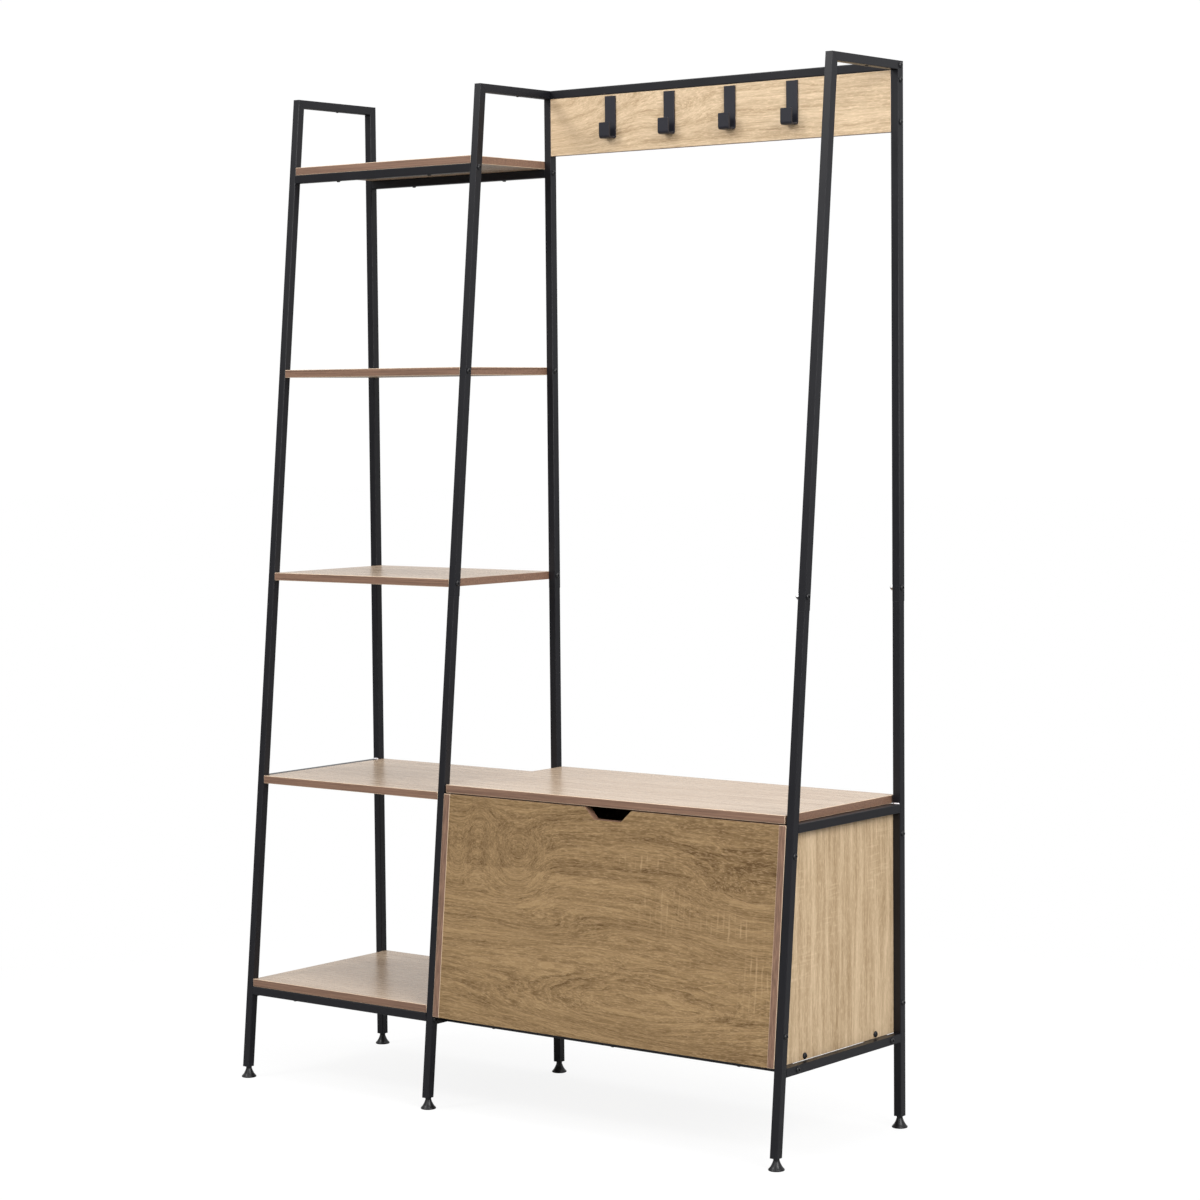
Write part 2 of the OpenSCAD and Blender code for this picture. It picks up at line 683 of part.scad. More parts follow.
front_leg_lower(0);  // left_front_leg_lower
rear_leg_lower(0);  // left_rear_leg_lower
front_leg_upper(0);  // left_front_leg_upper
rear_leg_upper(0);  // left_rear_leg_upper
top_bar(0);  // left_top_bar
seat_crossbar(0);  // left_seat_crossbar
foot_crossbar(0);  // left_foot_crossbar
front_leg_lower(1);  // middle_front_leg_lower
rear_leg_lower(1);  // middle_rear_leg_lower
front_leg_upper(1);  // middle_front_leg_upper
rear_leg_upper(1);  // middle_rear_leg_upper
top_bar(1);  // middle_top_bar
seat_crossbar(1);  // middle_seat_crossbar
foot_crossbar(1);  // middle_foot_crossbar
front_leg_lower(2);  // right_front_leg_lower
rear_leg_lower(2);  // right_rear_leg_lower
front_leg_upper(2);  // right_front_leg_upper
rear_leg_upper(2);  // right_rear_leg_upper
top_bar(2);  // right_top_bar
seat_crossbar(2);  // right_seat_crossbar
foot_crossbar(2);  // right_foot_crossbar
tower_top_rail(leg_mid(z_top_rail + tube / 2));  // tower_top_rail_front
tower_top_rail(rear_mid);  // tower_top_rail_rear
tower_bottom_rail(leg_mid(z_tower_low));  // tower_bottom_rail_front
tower_bottom_rail(rear_mid);  // tower_bottom_rail_rear
bench_rail(bench_rail_y[0]);  // bench_rail_front
bench_rail(bench_rail_y[1]);  // bench_rail_rear
rail(bench_x0, bench_x1, rear_mid, z_hook_rail, total_height - tube / 2);  // hook_rail
rail_shelf(shelf_top(4), leg_mid(z_top_rail + tube / 2));  // top_shelf
bolted_shelf(shelf_top(3), z_upper, [leg_mid(z_upper), rear_mid]);  // upper_shelf
bolted_shelf(shelf_top(2), z_joint_bolt, [leg_mid(z_joint_bolt), rear_mid]);  // middle_shelf
bolted_shelf(shelf_top(1), z_seat_bolt, seat_bolt_y);  // seat_level_shelf
rail_shelf(shelf_top(0), leg_mid(z_tower_low));  // bottom_shelf
seat_lid();
side_panel(bench_x0, true);  // left_side_panel
side_panel(panel_x1, false);  // right_side_panel
front_panel();
back_panel();
bottom_panel();
hook_board();
hook(0);  // hook_1
hook(1);  // hook_2
hook(2);  // hook_3
hook(3);  // hook_4
hinge_fixed_leaves();
hinge_lid_leaves();
hinge_pins();
foot(0, true);  // foot_left_front
foot(0, false);  // foot_left_rear
foot(1, true);  // foot_middle_front
foot(1, false);  // foot_middle_rear
foot(2, true);  // foot_right_front
foot(2, false);  // foot_right_rear
frame_bolts();
threaded_inserts();
leg_sleeves();
foot_sockets();
small_screws();
lid_bumpers();
lid_hinge_screws();
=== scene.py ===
import json
import math

import bmesh
import bpy
from bpy.props import FloatProperty, FloatVectorProperty, IntProperty, PointerProperty
from mathutils import Matrix, Vector

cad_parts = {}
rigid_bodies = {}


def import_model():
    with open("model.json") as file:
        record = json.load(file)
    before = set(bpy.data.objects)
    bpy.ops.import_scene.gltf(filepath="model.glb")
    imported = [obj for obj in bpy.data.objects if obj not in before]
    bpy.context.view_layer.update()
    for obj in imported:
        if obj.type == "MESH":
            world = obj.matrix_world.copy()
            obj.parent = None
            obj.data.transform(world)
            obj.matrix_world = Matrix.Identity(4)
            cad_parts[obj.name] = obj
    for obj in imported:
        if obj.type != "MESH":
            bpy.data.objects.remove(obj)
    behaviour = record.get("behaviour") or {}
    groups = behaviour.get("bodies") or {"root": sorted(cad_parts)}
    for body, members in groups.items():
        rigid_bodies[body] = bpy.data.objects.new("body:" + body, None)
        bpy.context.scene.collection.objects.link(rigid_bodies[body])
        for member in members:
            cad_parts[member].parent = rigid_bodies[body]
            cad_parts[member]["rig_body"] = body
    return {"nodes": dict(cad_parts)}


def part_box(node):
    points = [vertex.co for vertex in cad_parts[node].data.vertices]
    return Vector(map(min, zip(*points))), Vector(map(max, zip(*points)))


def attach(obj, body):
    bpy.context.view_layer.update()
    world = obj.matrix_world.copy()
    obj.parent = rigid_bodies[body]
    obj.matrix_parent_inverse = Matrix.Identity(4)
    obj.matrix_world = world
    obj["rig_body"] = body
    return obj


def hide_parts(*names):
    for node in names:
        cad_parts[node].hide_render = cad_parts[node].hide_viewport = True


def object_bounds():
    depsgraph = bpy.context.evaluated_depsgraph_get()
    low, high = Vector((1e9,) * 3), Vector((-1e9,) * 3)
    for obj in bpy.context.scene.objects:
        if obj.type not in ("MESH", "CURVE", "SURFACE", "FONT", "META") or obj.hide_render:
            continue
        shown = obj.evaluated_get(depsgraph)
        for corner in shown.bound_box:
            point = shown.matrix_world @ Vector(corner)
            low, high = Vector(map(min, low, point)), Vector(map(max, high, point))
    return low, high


bl_info = {
    "name": "Hall Tree Looks",
    "version": (1, 0, 0),
    "blender": (4, 5, 0),
    "location": "View3D > Sidebar > Hall Tree",
    "description": "Dresses the packed hall tree: coated tube, oak boards, hooks and hardware",
    "category": "Object",
}

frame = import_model()
CAD_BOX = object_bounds()
NODES = frame["nodes"]
MM = 0.001

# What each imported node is, grouped by how it is dressed
SIDES = ("left", "middle", "right")
TUBE_NODES = [s + "_" + part for s in SIDES for part in (
    "front_leg_lower", "rear_leg_lower", "front_leg_upper", "rear_leg_upper",
    "top_bar", "seat_crossbar", "foot_crossbar")]
TUBE_NODES += ["tower_top_rail_front", "tower_top_rail_rear", "tower_bottom_rail_front",
               "tower_bottom_rail_rear", "bench_rail_front", "bench_rail_rear", "hook_rail"]
SHELF_NODES = ["top_shelf", "upper_shelf", "middle_shelf", "seat_level_shelf", "bottom_shelf"]
HOOK_NODES = ["hook_1", "hook_2", "hook_3", "hook_4"]
FOOT_NODES = ["foot_%s_%s" % (s, e) for s in SIDES for e in ("front", "rear")]

# Head radii, in mm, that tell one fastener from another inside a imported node
BOLT_HEADS = (4.0, 5.15)
HINGE_HEADS_UNDER = 3.2
PAN_HEAD = 3.6
# Edges that the tube bevel rounds, in metres: the long corners, and the ends across a tube
LONG_EDGE = 0.030
END_EDGE = 0.0135
END_SHARE = 0.22
# The shortest board edge that is eased; shorter ones are the facets of holes
BOARD_EDGE = 0.008

# Half profiles. Domes are (share of head radius, share of head height), the rest mm
BUTTON_DOME = ((1.0, 0.0), (1.0, 0.28), (0.955, 0.50), (0.86, 0.70), (0.72, 0.87), (0.55, 1.0))
PAN_DOME = ((1.0, 0.0), (1.0, 0.30), (0.90, 0.66), (0.70, 0.90), (0.48, 1.0))
NUT_RINGS = ((5.0, -2.5), (5.7, -2.0), (5.7, 2.0), (5.0, 2.5), (3.0, 2.5), (3.0, -2.5))
FOOT_PROFILE = (
    (0, 0), (12.6, 0), (13.2, 0.3), (13.5, 0.9), (13.5, 1.7), (13.2, 2.4), (12.6, 3.0),
    (11.2, 4.4), (10.0, 6.0), (8.9, 7.8), (7.9, 9.7), (7.0, 11.6), (6.2, 13.6), (5.6, 15.2),
    (5.3, 16.2), (5.2, 17.4), (5.2, 19.4), (4.9, 19.7), (3.0, 19.7), (3.0, 47.4), (2.4, 48.0),
    (0, 48.0))
# Tone through one growth ring: a crisp pale line, dark beside it, then a slow return
RING_TONE = ((0.0, 0.96), (0.07, 0.80), (0.16, 0.20), (0.50, 0.46), (0.93, 0.62))


# ---------------------------------------------------------------- sizes and colours

def colour(name, text, value):
    return FloatVectorProperty(name=name, description=text, subtype="COLOR", size=3,
                               min=0.0, max=1.0, default=value)


def length(name, text, value_mm, high_mm=50.0):
    return FloatProperty(name=name, description=text, subtype="DISTANCE", unit="LENGTH",
                         min=0.0, max=high_mm * MM, default=value_mm * MM)


class FrameFinish(bpy.types.PropertyGroup):
    corner: length("Tube corner", "Outside corner radius of the square tube", 1.4)
    coat: colour("Powder coat", "Colour of the powder coat", (0.0043, 0.0043, 0.0062))
    coat_rough: FloatProperty(name="Coat roughness", description="Roughness of the coat",
                              min=0.0, max=1.0, default=0.36)
    plastic: colour("Foot plastic", "Colour of the feet", (0.006, 0.006, 0.007))
    steel: colour("Zinc steel", "Colour of the plated steel", (0.55, 0.55, 0.56))


class BoardFinish(bpy.types.PropertyGroup):
    arris: length("Arris", "Width of the eased board edges", 0.7)
    top_light: colour("Top light", "Light tone of shelves and lid", (0.49, 0.385, 0.285))
    top_dark: colour("Top dark", "Dark tone of shelves and lid", (0.31, 0.21, 0.135))
    front_light: colour("Front light", "Light tone of the front panel", (0.335, 0.218, 0.103))
    front_dark: colour("Front dark", "Dark tone of the front panel", (0.098, 0.051, 0.015))
    side_light: colour("Side light", "Light tone of the side panels", (0.62, 0.47, 0.305))
    side_dark: colour("Side dark", "Dark tone of the side panels", (0.30, 0.198, 0.100))
    hook_light: colour("Hook board light", "Light tone of the hook board", (0.70, 0.54, 0.36))
    hook_dark: colour("Hook board dark", "Dark tone of the hook board", (0.33, 0.218, 0.115))
    band_light: colour("Band light", "Light tone of the edge band", (0.270, 0.155, 0.100))
    band_dark: colour("Band dark", "Dark tone of the edge band", (0.125, 0.066, 0.042))
    # Lighter than every face tone: a painted highlight along the eased arrises
    line: colour("Edge line", "Colour of the eased edge", (0.74, 0.56, 0.40))


class HardwareFinish(bpy.types.PropertyGroup):
    head_r: length("Bolt head radius", "Radius of the button heads", 5.0)
    head_h: length("Bolt head height", "Height of the button heads", 2.9)
    shank_r: length("Bolt shank radius", "Radius of the bolt shanks", 2.9)
    screw_r: length("Screw radius", "Radius of the screw shanks", 1.7)
    socket_r: length("Socket radius", "Radius of the hexagon socket", 2.1)
    bead_r: length("Weld bead radius", "Radius of one blob of the weld beads", 1.7)
    sides: IntProperty(name="Bolt sides", description="Sides of the round bolt parts",
                       min=12, max=64, default=28)


class StageFinish(bpy.types.PropertyGroup):
    lens: FloatProperty(name="Lens", description="Focal length for a 36 mm sensor",
                        unit="CAMERA", min=20.0, max=200.0, default=92.9)
    eye: FloatVectorProperty(name="Eye", description="Camera place", subtype="TRANSLATION",
                             unit="LENGTH", size=3, default=(3.4149, -4.2198, 1.2390))
    azimuth: FloatProperty(name="Azimuth", description="Turn of the camera, degrees",
                           default=38.173)
    pitch: FloatProperty(name="Pitch", description="Tilt of the camera, degrees",
                         default=-3.678)
    roll: FloatProperty(name="Roll", description="Roll of the camera, degrees",
                        default=-0.516)
    floor: colour("Floor", "Colour of the floor", (0.90, 0.90, 0.90))
    key: FloatProperty(name="Key light", description="Power of the key light, watts",
                       min=0.0, default=150.0)
    fill: FloatProperty(name="Fill light", description="Power of the fill light, watts",
                        min=0.0, default=90.0)
    sky: FloatProperty(name="Surround", description="Strength of the pale surround",
                       min=0.0, default=0.9)


# ---------------------------------------------------------------- node helpers

class Wiring:
    """Adds nodes to a tree with few words: a socket value may be a number or a socket."""

    def __init__(self, tree):
        self.tree = tree
        self.nodes = tree.nodes
        self.column = 0

    def add(self, kind, inputs=None, **settings):
        node = self.nodes.new(kind)
        node.location = (self.column * 190, (self.column % 5) * -170)
        self.column += 1
        for key, value in settings.items():
            setattr(node, key, value)
        for key, value in (inputs or {}).items():
            self.feed(node.inputs[key], value)
        return node

    def feed(self, socket, value):
        if isinstance(value, bpy.types.NodeSocket):
            self.tree.links.new(value, socket)
        else:
            socket.default_value = value

    def math(self, operation, a, b=0.0, c=None, clamp=False):
        node = self.add("ShaderNodeMath", {0: a, 1: b}, operation=operation, use_clamp=clamp)
        if c is not None:
            self.feed(node.inputs[2], c)
        return node.outputs[0]

    def noise(self, vector, scale, detail=2.0, rough=0.5):
        return self.add("ShaderNodeTexNoise", {
            "Vector": vector, "Scale": scale, "Detail": detail,
            "Roughness": rough}).outputs["Fac"]

    def stretch(self, vector, scale, place=(0, 0, 0), turn=(0, 0, 0)):
        return self.add("ShaderNodeMapping", {
            "Vector": vector, "Scale": scale, "Location": place,
            "Rotation": turn}).outputs[0]

    def ramp(self, fac, stops):
        node = self.add("ShaderNodeValToRGB", {"Fac": fac})
        elements = node.color_ramp.elements
        elements.remove(elements[1])
        elements[0].position = stops[0][0]
        elements[0].color = (stops[0][1],) * 3 + (1,)
        for at, value in stops[1:]:
            elements.new(at).color = (value,) * 3 + (1,)
        return node.outputs[0]

    def hump(self, vector, centre, reach):
        """1 at the centre, fading to 0 about two reaches away; a None axis is ignored."""
        share = tuple(0.0 if c is None else 1.0 / r for c, r in zip(centre, reach))
        move = tuple(0.0 if c is None else -c / r for c, r in zip(centre, reach))
        near = self.stretch(vector, share, move)
        far = self.add("ShaderNodeVectorMath", {0: near, 1: near},
                       operation="DOT_PRODUCT").outputs["Value"]
        return self.math("POWER", math.e, self.math("MULTIPLY", far, -1.0))

    def mix(self, fac, a, b):
        node = self.add("ShaderNodeMix", data_type="RGBA")
        for index, value in ((0, fac), (6, a), (7, b)):
            if isinstance(value, tuple) and len(value) == 3:
                value = (*value, 1)
            self.feed(node.inputs[index], value)
        return node.outputs[2]


def new_material(name):
    material = bpy.data.materials.new(name)
    material.use_nodes = True
    material.node_tree.nodes.clear()
    wires = Wiring(material.node_tree)
    shader = wires.add("ShaderNodeBsdfPrincipled")
    out = wires.add("ShaderNodeOutputMaterial")
    wires.feed(out.inputs["Surface"], shader.outputs[0])
    return material, wires, shader


def rgba(value):
    return (*tuple(value), 1.0)


def oak_material(name, light, dark, turn, seed=0.0, lines=60.0, sway=0.10, figure=0.5,
                 streaks=1.0, fine=1.0, gloss=0.42, planks=(), eyes=(), saw=0.0,
                 saw_patches=()):
    """Printed oak laminate.

    turn lays the grain: the turned X runs along it. planks are (height, shade) lines where
    one printed plank meets the next, eyes are (place, reach, push) bends of the grain, and
    saw_patches are (place, reach) areas with pale cross marks left by the saw.
    """
    material, w, shader = new_material(name)
    place = w.add("ShaderNodeTexCoord").outputs["Object"]
    along = w.stretch(place, (1, 1, 1), (seed, seed * 0.7, seed * 0.3), turn)
    shade = 0.0
    if planks:
        height = w.add("ShaderNodeSeparateXYZ", {0: place}).outputs[2]
        count = 0.0
        for level, step in planks:
            above = w.math("GREATER_THAN", height, level)
            count = w.math("ADD", above, count)
            shade = w.math("ADD", w.math("MULTIPLY", above, step), shade)
        jump = w.add("ShaderNodeCombineXYZ", {0: w.math("MULTIPLY", count, 2.3),
                                              1: w.math("MULTIPLY", count, 0.37)})
        along = w.add("ShaderNodeVectorMath", {0: along, 1: jump.outputs[0]},
                      operation="ADD").outputs[0]

    def part(value, middle, weight):
        return w.math("MULTIPLY", w.math("SUBTRACT", value, middle), weight)

    slow = w.noise(w.stretch(along, (1.3, 4.5, 4.5)), 1.0, 1.5, 0.45)
    quick = w.noise(w.stretch(along, (4.6, 20.0, 20.0)), 1.0, 2.0, 0.5)
    ripple = w.noise(w.stretch(along, (18.0, 60.0, 60.0)), 1.0, 1.5, 0.5)
    shift = w.math("ADD", part(slow, 0.5, sway), part(quick, 0.5, sway * 0.19))
    shift = w.math("ADD", shift, part(ripple, 0.5, sway * 0.055))
    for centre, reach, push in eyes:
        shift = w.math("ADD", shift, w.math("MULTIPLY", w.hump(place, centre, reach), push))
    bend = w.add("ShaderNodeCombineXYZ", {1: shift, 2: shift})
    flow = w.add("ShaderNodeVectorMath", {0: along, 1: bend.outputs[0]},
                 operation="ADD").outputs[0]
    parts = w.add("ShaderNodeSeparateXYZ", {0: flow})
    across = w.math("ADD", parts.outputs[1], parts.outputs[2])
    # growth rings, bent with the grain and fading in and out along it
    uneven = w.noise(w.stretch(flow, (1.2, 26.0, 26.0)), 1.0, 2.0, 0.5)
    ring = w.math("FRACT", w.math("ADD", w.math("MULTIPLY", across, lines),
                                  w.math("MULTIPLY", uneven, 4.0)))
    ring = w.ramp(ring, RING_TONE)
    strength = w.ramp(w.noise(w.stretch(along, (2.6, 12.0, 12.0), (7.0, 3.0, 5.0)), 1.0, 1.0),
                      [(0.36, 0.05), (0.66, 1.0)])
    streak = w.noise(w.stretch(flow, (2.2, 60.0, 60.0)), 1.0, 3.0, 0.6)
    fibre = w.noise(w.stretch(flow, (17.0, 330.0, 330.0)), 1.0, 3.0, 0.66)
    dash = w.noise(w.stretch(flow, (95.0, 760.0, 760.0)), 1.0, 2.0, 0.6)
    dash = w.ramp(dash, [(0.50, 0.0), (0.64, 1.0)])
    drift = w.noise(w.stretch(along, (1.3, 5.0, 5.0), (2.0, 9.0, 4.0)), 1.0, 1.5, 0.5)
    tone = w.math("MULTIPLY", part(ring, 0.50, figure), strength)
    tone = w.math("ADD", tone, part(streak, 0.5, 1.25 * streaks))
    tone = w.math("ADD", tone, part(fibre, 0.5, 1.75 * fine))
    tone = w.math("ADD", tone, part(drift, 0.5, 0.5))
    tone = w.math("ADD", tone, shade)
    tone = w.math("ADD", tone, 0.52, clamp=True)
    body = w.mix(tone, tuple(dark), tuple(light))
    pale = tuple(min(1.0, c * 1.25 + 0.04) for c in light)
    # short pale dashes between the pores
    body = w.mix(w.math("MULTIPLY", dash, 0.42 * fine), body, pale)
    if saw:
        bar = w.ramp(w.noise(w.stretch(along, (260.0, 26.0, 26.0)), 1.0, 1.5, 0.4),
                     [(0.56, 0.0), (0.66, 1.0)])
        patch = w.ramp(w.noise(w.stretch(along, (9.0, 16.0, 16.0), (3.1, 1.7, 0.4)), 1.0, 1.0),
                       [(0.55, 0.0), (0.66, 1.0)])
        body = w.mix(w.math("MULTIPLY", w.math("MULTIPLY", bar, patch), saw), body, pale)
    if saw_patches:
        wave = w.add("ShaderNodeTexWave", {
            "Vector": place, "Scale": 27.0, "Distortion": 1.6, "Detail": 1.0,
            "Detail Scale": 1.0}, wave_type="BANDS", bands_direction="X").outputs["Fac"]
        bar = w.ramp(wave, [(0.70, 0.0), (0.95, 1.0)])
        broken = w.ramp(w.noise(w.stretch(place, (110.0, 60.0, 26.0)), 1.0, 3.0, 0.6),
                        [(0.44, 0.0), (0.62, 1.0)])
        cover = 0.0
        for centre, reach in saw_patches:
            cover = w.math("MAXIMUM", w.hump(place, centre, reach), cover)
        cover = w.ramp(cover, [(0.15, 0.0), (0.60, 1.0)])
        mark = w.math("MULTIPLY", w.math("MULTIPLY", bar, broken), cover)
        body = w.mix(w.math("MULTIPLY", mark, 0.50), body, pale)
    w.feed(shader.inputs["Base Color"], body)
    w.feed(shader.inputs["Roughness"],
           w.math("ADD", w.math("MULTIPLY", fibre, 0.16), gloss - 0.08))
    shader.inputs["Specular IOR Level"].default_value = 0.5 if gloss < 0.4 else 0.28
    height = w.math("ADD", w.math("MULTIPLY", dash, 0.6), w.math("MULTIPLY", fibre, 0.4))
    bump = w.add("ShaderNodeBump", {"Height": height, "Strength": 0.12, "Distance": 0.0003})
    w.feed(shader.inputs["Normal"], bump.outputs[0])
    return material


def band_material(name, light, dark, turn):
    """Edge band: long brown streaks along the board's edge."""
    material, w, shader = new_material(name)
    place = w.add("ShaderNodeTexCoord").outputs["Object"]
    along = w.stretch(place, (1, 1, 1), (0, 0, 0), turn)
    streak = w.noise(w.stretch(along, (5.0, 420.0, 420.0)), 1.0, 3.0, 0.6)
    fleck = w.noise(w.stretch(along, (60.0, 1100.0, 1100.0)), 1.0, 2.0, 0.5)
    tone = w.math("ADD", w.math("MULTIPLY", w.math("SUBTRACT", streak, 0.5), 2.3),
                  w.math("MULTIPLY", fleck, 0.5))
    tone = w.math("ADD", tone, 0.25, clamp=True)
    w.feed(shader.inputs["Base Color"], w.mix(tone, tuple(dark), tuple(light)))
    w.feed(shader.inputs["Roughness"], w.math("ADD", w.math("MULTIPLY", fleck, 0.2), 0.40))
    return material


def arris_highlight_material(name, tone):
    """The eased edge between face and band, coloured lighter than the faces as a painted
    highlight along the arris, a little worn.
    """
    material, w, shader = new_material(name)
    place = w.add("ShaderNodeTexCoord").outputs["Object"]
    wear = w.noise(place, 60.0, 3.0, 0.6)
    low = tuple(c * 0.72 for c in tone)
    # painted highlight: the arris tone is lighter than the board faces, darkened in random
    # patches as wear
    w.feed(shader.inputs["Base Color"], w.mix(wear, low, tuple(tone)))
    shader.inputs["Roughness"].default_value = 0.5
    return material


def coat_material(name, tone, rough, grain=0.06):
    """Powder coat or moulded plastic: dark, with a fine orange-peel texture."""
    material, w, shader = new_material(name)
    place = w.add("ShaderNodeTexCoord").outputs["Object"]
    peel = w.noise(place, 900.0, 2.0, 0.5)
    cloud = w.noise(place, 14.0, 3.0, 0.55)
    pale = tuple(min(1.0, c * 1.55 + 0.001) for c in tone)
    w.feed(shader.inputs["Base Color"], w.mix(cloud, tuple(tone), pale))
    w.feed(shader.inputs["Roughness"], w.math(
        "ADD", w.math("MULTIPLY", cloud, 0.10), rough - 0.05))
    shader.inputs["Specular IOR Level"].default_value = 0.34
    bump = w.add("ShaderNodeBump", {"Height": peel, "Strength": grain, "Distance": 0.0002})
    w.feed(shader.inputs["Normal"], bump.outputs[0])
    return material


def steel_material(name, tone, rough):
    """Plated or bare steel with faint brushing and smudges."""
    material, w, shader = new_material(name)
    place = w.add("ShaderNodeTexCoord").outputs["Object"]
    smudge = w.noise(place, 40.0, 4.0, 0.6)
    brush = w.noise(w.stretch(place, (80, 900, 900)), 1.0, 2.0, 0.5)
    low = tuple(c * 0.78 for c in tone)
    w.feed(shader.inputs["Base Color"], w.mix(smudge, low, tuple(tone)))
    w.feed(shader.inputs["Roughness"], w.math(
        "ADD", w.math("MULTIPLY", brush, 0.22), rough - 0.08))
    shader.inputs["Metallic"].default_value = 1.0
    return material


def material_named(name, build):
    """The finish of that name, built the first time it is asked for."""
    name += "_finish"
    return bpy.data.materials.get(name) or build(name)


# How the grain lies: the mapping's turn puts the texture's X along the grain
GRAIN_X = (0.0, 0.0, 0.0)
GRAIN_Z = (0.0, math.pi / 2, 0.0)


# Front panel: where the printed planks meet (height), where the grain swirls and arches
# (place, reach, push), and where the saw left pale cross marks (place, reach); metres
FRONT_PLANKS = ((0.236, 0.05), (0.436, -0.14))
FRONT_EYES = (
    ((0.27, None, 0.222), (0.26, 1.0, 0.062), 0.058),
    ((0.03, None, 0.455), (0.050, 1.0, 0.050), 0.060),
    ((-0.060, None, 0.500), (0.022, 1.0, 0.050), -0.020),
    ((-0.105, None, 0.450), (0.020, 1.0, 0.040), 0.022),
    ((0.54, None, 0.432), (0.130, 1.0, 0.050), 0.042),
    ((0.33, None, 0.345), (0.110, 1.0, 0.020), -0.014),
    ((0.10, None, 0.345), (0.080, 1.0, 0.018), 0.014),
)
FRONT_SAW = (
    ((0.345, None, 0.395), (0.055, 1.0, 0.038)),
    ((0.485, None, 0.380), (0.060, 1.0, 0.022)),
    ((0.300, None, 0.470), (0.065, 1.0, 0.012)),
    ((0.545, None, 0.290), (0.035, 1.0, 0.060)),
)
# Hook board: the grain climbs from the lower left end
BOARD_EYES = (
    ((-0.16, None, 1.800), (0.20, 1.0, 0.090), 0.130),
    ((0.14, None, 1.740), (0.06, 1.0, 0.030), 0.020),
)


# ---------------------------------------------------------------- mesh helpers

def merged_copy(node):
    """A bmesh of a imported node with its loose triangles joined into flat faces."""
    work = bmesh.new()
    work.from_mesh(NODES[node].data)
    bmesh.ops.remove_doubles(work, verts=work.verts, dist=2e-6)
    bmesh.ops.dissolve_limit(work, angle_limit=math.radians(0.6), verts=work.verts,
                             edges=work.edges)
    work.normal_update()
    return work


def piece_from(work, name, node, materials, body=None):
    """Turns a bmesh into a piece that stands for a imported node."""
    mesh = bpy.data.meshes.new(name)
    work.to_mesh(mesh)
    work.free()
    for material in materials:
        mesh.materials.append(material)
    mesh.shade_smooth()
    mesh.set_sharp_from_angle(angle=math.radians(32))
    piece = bpy.data.objects.new(name, mesh)
    bpy.context.scene.collection.objects.link(piece)
    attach(piece, body or NODES[node]["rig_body"])
    if node:
        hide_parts(node)
    return piece


def weigh_edges(work, choose):
    """Marks the edges that the bevel rounds; choose gives a share of its width, or 0."""
    layer = work.edges.layers.float.get("bevel_weight_edge") or \
        work.edges.layers.float.new("bevel_weight_edge")
    for edge in work.edges:
        edge[layer] = choose(edge) if len(edge.link_faces) == 2 and edge.is_convex else 0.0


def add_bevel(piece, width, segments, material=-1, limit="WEIGHT"):
    """Rounds the weighed or sharp edges; material -1 keeps each face's own."""
    bevel = piece.modifiers.new("Eased edges", "BEVEL")
    bevel.width = width
    bevel.segments = segments
    bevel.limit_method = limit
    bevel.angle_limit = math.radians(40)
    bevel.harden_normals = True
    bevel.material = material
    bevel.use_clamp_overlap = True


def islands(node):
    """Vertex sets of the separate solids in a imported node."""
    work = bmesh.new()
    work.from_mesh(NODES[node].data)
    bmesh.ops.remove_doubles(work, verts=work.verts, dist=2e-6)
    left, found = set(work.verts), []
    while left:
        heap, group = [left.pop()], []
        while heap:
            vert = heap.pop()
            group.append(vert.co.copy())
            for edge in vert.link_edges:
                other = edge.other_vert(vert)
                if other in left:
                    left.discard(other)
                    heap.append(other)
        found.append(group)
    work.free()
    return found


def spun(profile, centre, sides):
    """A closed round mesh from (radius, height) points, poles welded."""
    work = bmesh.new()
    verts = [work.verts.new((r, 0, z)) for r, z in profile]
    edges = [work.edges.new(pair) for pair in zip(verts, verts[1:])]
    bmesh.ops.spin(work, geom=verts + edges, axis=(0, 0, 1), cent=(0, 0, 0),
                   dvec=(0, 0, 0), angle=2 * math.pi, steps=sides, use_merge=True)
    bmesh.ops.remove_doubles(work, verts=work.verts, dist=1e-6)
    bmesh.ops.recalc_face_normals(work, faces=work.faces)
    bmesh.ops.translate(work, verts=work.verts, vec=centre)
    return work


# ---------------------------------------------------------------- repeated pieces

def socket_id(tree, name):
    """The identifier of a tree's input, which a modifier's value is set by."""
    return next(i.identifier for i in tree.interface.items_tree
                if i.item_type == "SOCKET" and i.in_out == "INPUT" and i.name == name)


def new_tree(name, sizes):
    """An empty tree with one input for each size, its wiring, and its two ends."""
    tree = bpy.data.node_groups.new(name, "GeometryNodeTree")
    tree.interface.new_socket("Geometry", in_out="INPUT", socket_type="NodeSocketGeometry")
    tree.interface.new_socket("Geometry", in_out="OUTPUT", socket_type="NodeSocketGeometry")
    for label in sizes:
        kind = "NodeSocketInt" if label == "Sides" else (
            "NodeSocketMaterial" if label == "Material" else "NodeSocketFloat")
        tree.interface.new_socket(label, in_out="INPUT", socket_type=kind)
    wires = Wiring(tree)
    return tree, wires, wires.add("NodeGroupInput"), wires.add("NodeGroupOutput")


def finish_tree(wires, points, shape, source, sink):
    """Puts shape on every point, turned by the point's own turn, as real mesh."""
    turn = wires.add("GeometryNodeInputNamedAttribute", {"Name": "turn"},
                     data_type="FLOAT_VECTOR")
    spin = wires.add("FunctionNodeEulerToRotation", {0: turn.outputs[0]})
    onto = wires.add("GeometryNodeInstanceOnPoints", {
        "Points": points, "Instance": shape, "Rotation": spin.outputs[0]})
    real = wires.add("GeometryNodeRealizeInstances", {0: onto.outputs[0]})
    dressed = wires.add("GeometryNodeSetMaterial", {
        "Geometry": real.outputs[0], "Material": source.outputs["Material"]})
    wires.feed(sink.inputs[0], dressed.outputs[0])


